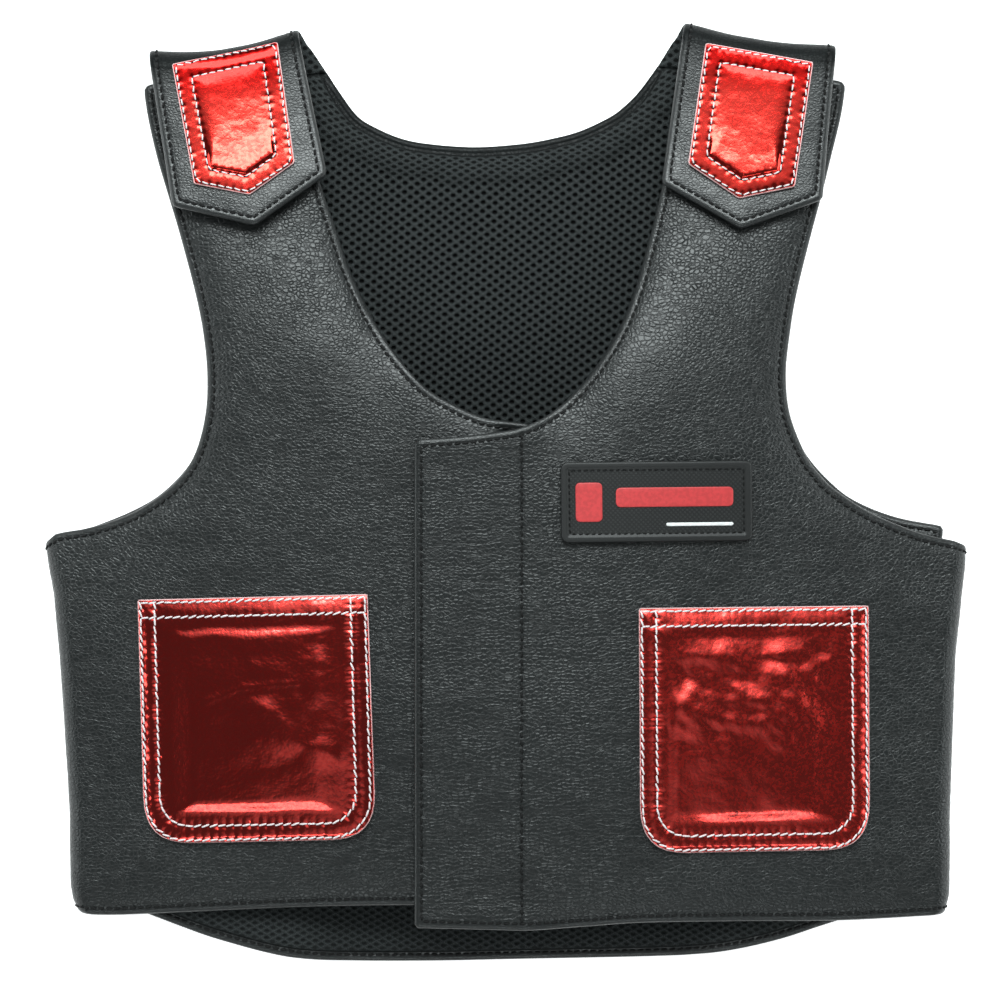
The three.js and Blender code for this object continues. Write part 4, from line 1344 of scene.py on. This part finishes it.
def buildPocket(side):
    spot = pocketShape[side]
    half = pocketShape["width"] / 2
    tall = pocketShape["height"]
    low = half + spot["spread"]
    runs = [
        [(-half, 0), (half, 0)],
        [(half, 0), (low, -tall)],
        [(low, -tall), (-half, -tall)],
        [(-half, -tall), (-half, 0)],
    ]
    corner = pocketShape["corner"] * 1.15
    outline = closedOutline(runs, [0.8, corner, corner, 0.8], 1.8)
    seams = pocketSeams()
    board = pocketShape["board"]
    welt = pocketShape["welt"]
    beside = seamField(seams, 0.8, pocketShape["beside"])
    lay = layOut(outline, pocketShape["rings"], pocketShape["spacing"], beside)
    seed = spot["seed"]

    def faces(u, v, edge):
        points = np.column_stack([u, v])
        wobble = 0.8 * cloud(u, v, 22, seed + 6)
        depths = {
            "side": half - board["side"] - np.abs(u),
            "top": -v - board["top"] + wobble,
            "bottom": v + tall - board["bottom"] + wobble,
        }
        ramps = {**spot["ramp"], "side": np.where(u < 0, *spot["ramp"]["side"])}
        climb = np.min([np.clip(depths[k] / ramps[k], 0, 1) for k in depths], axis=0)
        inside = np.min(list(depths.values()), axis=0)
        swell = board["raise"] * (0.7 * climb + 0.3 * ease(climb))
        swell *= between(spot["topShare"], spot["lowShare"], ease(depths["top"] / board["lean"]))
        puffed = 1 - (depths["top"] / board["pillowMiddle"] - 1) ** 2
        swell += spot["pillow"] * climb * puffed * ease(depths["side"] / board["pillowSide"])
        # it leans up over the hem, and more steeply from its sewn edges
        sewn = np.minimum((v + tall) / spot["rise"], (low - np.abs(u)) / pocketShape["sideRise"])
        body = np.clip(np.minimum(-v / pocketShape["hem"][1], sewn), 0, 1)
        ruffle = 1 + 0.3 * cloud(u, v, 13, seed + 7) * (1 - ease((-v - 8) / 8))
        swell += between(*spot["stand"], u / (2 * half) + 0.5) * body * ruffle
        upper, lower = spot["crumple"]
        much = between(lower, upper, ease((v + 0.72 * tall + 12 * cloud(u, v, 30, seed + 3)) / 30))
        calm, busy = spot["calm"]
        much *= 0.35 + 0.65 * ease((u - calm) / (busy - calm))
        # broad folds, finer ones, sharp ridges, then the smallest creases
        crinkle = 0.75 * cloud(0.7 * u, v, 13, seed) + 0.25 * cloud(u + 0.5 * v, v, 6.5, seed + 1)
        crinkle += 0.9 * np.abs(cloud(0.7 * u - 0.4 * v, v, 21, seed + 4)) + 0.12 * cloud(u, v, 3.0, seed + 2)
        crinkle *= much * (0.25 + 0.75 * ease((inside + 2) / 13))
        for line, high, wide in spot["folds"]:
            crinkle += high * bell(gapTo(points, smoothLine(line)) / wide)
        pulled = pocketShape["pucker"] * puckers(
            points, seams, whiteThread["pitch"], pocketShape["puckerWidth"], pocketShape["puckerShare"])
        flat = lying["laidGap"] + lying["foil"] * thinning(edge, foilEdge) + swell
        flat += welt["high"] * bell((edge - welt["at"]) / welt["over"])
        top = flat + (crinkle - pulled) * ease(edge / 2)
        return top, np.minimum(np.full_like(u, 0.2) + swell, top - 0.1)

    place = placeLaid(side, spot)
    piece = shellPiece(f"pocketFoil{side.title()}", lay, faces, place, [pocketFoil[side]])
    standFor(f"pocket_{side}")
    height = heightBy(faces, outline)
    threads = sew(f"pocketStitches{side.title()}", seams, whiteThread, place, height)
    print("pocket", side, len(piece.data.polygons), "faces")


for side in ("right", "left"):
    buildPocket(side)


# Moulded label on the chest: a rim, a sunken dotted field, and plain bars with a thin rule

labelShape = {
    "x": 84.5, "y": -4.6, "turn": 0.6, "width": 107.4, "height": 45.2, "corner": 4.4,
    "rim": 3.6, "slope": 0.8, "rimHeight": 1.1, "row": 4.9, "under": 0.2,
    "round": 0.8, "markRound": 0.5, "markSunk": 0.3,
    "block": {"u": -38.0, "v": 0.0, "wide": 15.0, "tall": 22.0, "corner": 3.0, "high": 0.6},
    "bar": {"u": 10.0, "v": 2.5, "wide": 66.0, "tall": 11.0, "corner": 3.0, "high": 0.6},
    "rule": {"u": 24.0, "v": -12.8, "wide": 38.0, "tall": 2.0, "corner": 0.9, "high": 0.4},
}


def boxRuns(u, v, wide, tall):
    corners = [(u + a * wide / 2, v + b * tall / 2) for a, b in ((-1, -1), (1, -1), (1, 1), (-1, 1))]
    return [[corners[k], corners[(k + 1) % 4]] for k in range(4)]


def buildLabel():
    made = labelShape
    place = placeLaid("left", made)
    outline = closedOutline(boxRuns(0, 0, made["width"], made["height"]), [made["corner"]] * 4, 1.2)
    rings = (0.15, 0.5, 1.0, 1.7, 2.6, made["rim"] - 0.1, made["rim"] + made["slope"], 5.5)
    lay = layOut(outline, rings, 2.6)

    def faces(u, v, edge):
        rim = made["rimHeight"] * (1 - ease((edge - made["rim"]) / made["slope"]))
        low = np.full_like(u, made["under"])
        high = lying["laidGap"] - made["under"] + lying["label"] + rim
        return low + high * rounded(edge, made["round"]), low

    piece = shellPiece("labelPlate", lay, faces, place, [labelRubber])
    standFor("chest_label")
    seam = [closed(insetLoop(outline, made["row"]))]

    def seamHeight(u, v):
        return heightAt(faces, made["row"])(u, v) - 0.1

    fine = {**blackThread, "pitch": 3.6, "length": 2.6, "width": 0.7, "thick": 0.5}
    sew("labelStitches", seam, fine, place, seamHeight)
    for name, material in (("block", labelRed), ("bar", labelRed), ("rule", labelWhite)):
        mark = made[name]
        runs = boxRuns(mark["u"], mark["v"], mark["wide"], mark["tall"])
        field = layOut(closedOutline(runs, [mark["corner"]] * 4, 0.8), (0.1, 0.3, 0.6), 2.4)

        def markFaces(u, v, edge, high=mark["high"]):
            base = lying["laidGap"] + lying["label"]
            top = base + high * rounded(edge, made["markRound"])
            return top, np.full_like(u, base - made["markSunk"])

        shape = shellPiece(f"label{name.title()}", field, markFaces, place, [material])
    print("label made")


buildLabel()


# Hook-and-loop fastenings between the layers

tapes = {
    # lowest and highest corner
    "front": (-44, -224, -12, 10),
    "side": (150, -195, 190, -75),
    "shoulder": (22, 14, 62, 54),
    "corner": 4.0,
}


def buildTape(name, node, box, place):
    lowU, lowV, highU, highV = box
    runs = boxRuns((lowU + highU) / 2, (lowV + highV) / 2, highU - lowU, highV - lowV)
    outline = closedOutline(runs, [tapes["corner"]] * 4, 2.0)
    lay = layOut(outline, (0.3, 0.8, 1.6), 4.0)

    def faces(u, v, edge):
        half = 0.5 * lying["tape"] * thinning(edge, 0.8)
        rough = 0.08 * cloud(u, v, 3, 81)
        return 0.5 * lying["tape"] + half + rough, 0.5 * lying["tape"] - half

    piece = shellPiece(name, lay, faces, place, [tapePile])
    standFor(node)


def placeFrontTape(u, v, h):
    return np.column_stack([u, v, outsideOf("right", u, v) + lying["laidGap"] + h])


def placeSideTape(u, v, h):
    return np.column_stack([u, v, np.full(len(u), lying["wing"] + lying["gap"]) + h])


buildTape("frontTape", "front_closure", tapes["front"], placeFrontTape)
for side in ("right", "left"):
    lowX, lowY, highX, highY = tapes["side"]
    start, stop = sorted((signOf[side] * lowX, signOf[side] * highX))
    buildTape(f"sideTape{side.title()}", f"side_closure_{side}", (start, lowY, stop, highY), placeSideTape)
    strapPlace = placeStrap(side)

    def placeShoulderTape(u, v, h, strapPlace=strapPlace):
        return strapPlace(u, v, h - lying["strap"] - lying["gap"] / 2 - lying["tape"])

    buildTape(f"shoulderTape{side.title()}", f"shoulder_closure_{side}", tapes["shoulder"], placeShoulderTape)
print("fastenings made")


# Floor, light and camera

studio = {
    "floor": (0.92, 0.92, 0.92, 1),
    "lens": 164.5, "height": 2.6, "aim": (-0.0031, -0.0037),
    "lights": {
        # place, size, and brightness of its face against the floor's white
        "neckSoftbox": {"at": (0.0, 1.16, 1.40), "size": (1.4, 0.85), "bright": 11.0},
        "hemPanel": {"at": (0.0, -1.5, 1.25), "size": (1.8, 0.4), "bright": 4.2},
        "leftPanel": {"at": (-1.6, 0.0, 0.6), "size": (1.8, 0.6), "bright": 3.4},
        "rightPanel": {"at": (1.6, 0.0, 0.6), "size": (1.8, 0.6), "bright": 3.4},
    },
    "lightTint": (0.92, 1.0, 1.0),
    "sky": {"horizon": (0.11, 0.12, 0.123, 1), "top": (0.085, 0.092, 0.094, 1)},
    # soft light on the ceiling: direction, nearness where it begins and where it is full, brightness
    "glows": [((0.0, 0.638, 0.77), 0.80, 0.96, 1.1), ((0.0, -0.5, 0.866), 0.89, 0.985, 0.5)],
    "floorGlow": 0.8,     # keeps the paper white under the vest's edges
}


def buildStudio():
    scene = bpy.context.scene
    scene.view_settings.view_transform = "Standard"
    bpy.ops.mesh.primitive_plane_add(size=12, location=(0, 0, -0.0004))
    floor = bpy.context.object
    floor.name = "floor"
    paper = {"Base Color": studio["floor"], "Roughness": 0.9, "Emission Color": studio["floor"]}
    material, _, _ = newMaterial("floorPaper", {**paper, "Emission Strength": studio["floorGlow"]})
    floor.data.materials.append(material)
    for name, made in studio["lights"].items():
        light = bpy.data.lights.new(name, "AREA")
        light.shape = "RECTANGLE"
        light.size, light.size_y = made["size"]
        light.color = studio["lightTint"]
        light.energy = made["bright"] * math.pi * light.size * light.size_y
        lamp = bpy.data.objects.new(name, light)
        lamp.location = made["at"]
        lamp.visible_camera = False
        lamp.rotation_euler = Vector(made["at"]).to_track_quat("Z", "Y").to_euler()
        bpy.context.collection.objects.link(lamp)
    world = bpy.data.worlds.new("studioSky")
    scene.world = world
    world.use_nodes = True
    tree = world.node_tree
    where = addNode(tree, "ShaderNodeTexCoord").outputs["Generated"]
    _, _, up = addNode(tree, "ShaderNodeSeparateXYZ", {0: where}).outputs
    sky = mixed(tree, ranged(tree, up, 0.15, 0.75), studio["sky"]["horizon"], studio["sky"]["top"])
    for towards, starts, full, bright in studio["glows"]:
        facing = addNode(tree, "ShaderNodeVectorMath", {0: where, 1: towards}, operation="DOT_PRODUCT")
        near = ranged(tree, facing.outputs["Value"], starts, full)
        lit = tuple(bright * c for c in studio["lightTint"]) + (1,)
        sky = mixed(tree, near, sky, lit)
    tree.links.new(sky, tree.nodes["Background"].inputs["Color"])
    lens = bpy.data.cameras.new("camera")
    lens.lens = studio["lens"]
    lens.sensor_width = 36
    camera = bpy.data.objects.new("camera", lens)
    camera.location = (*studio["aim"], studio["height"])
    bpy.context.collection.objects.link(camera)
    scene.camera = camera


buildStudio()
print("studio ready")
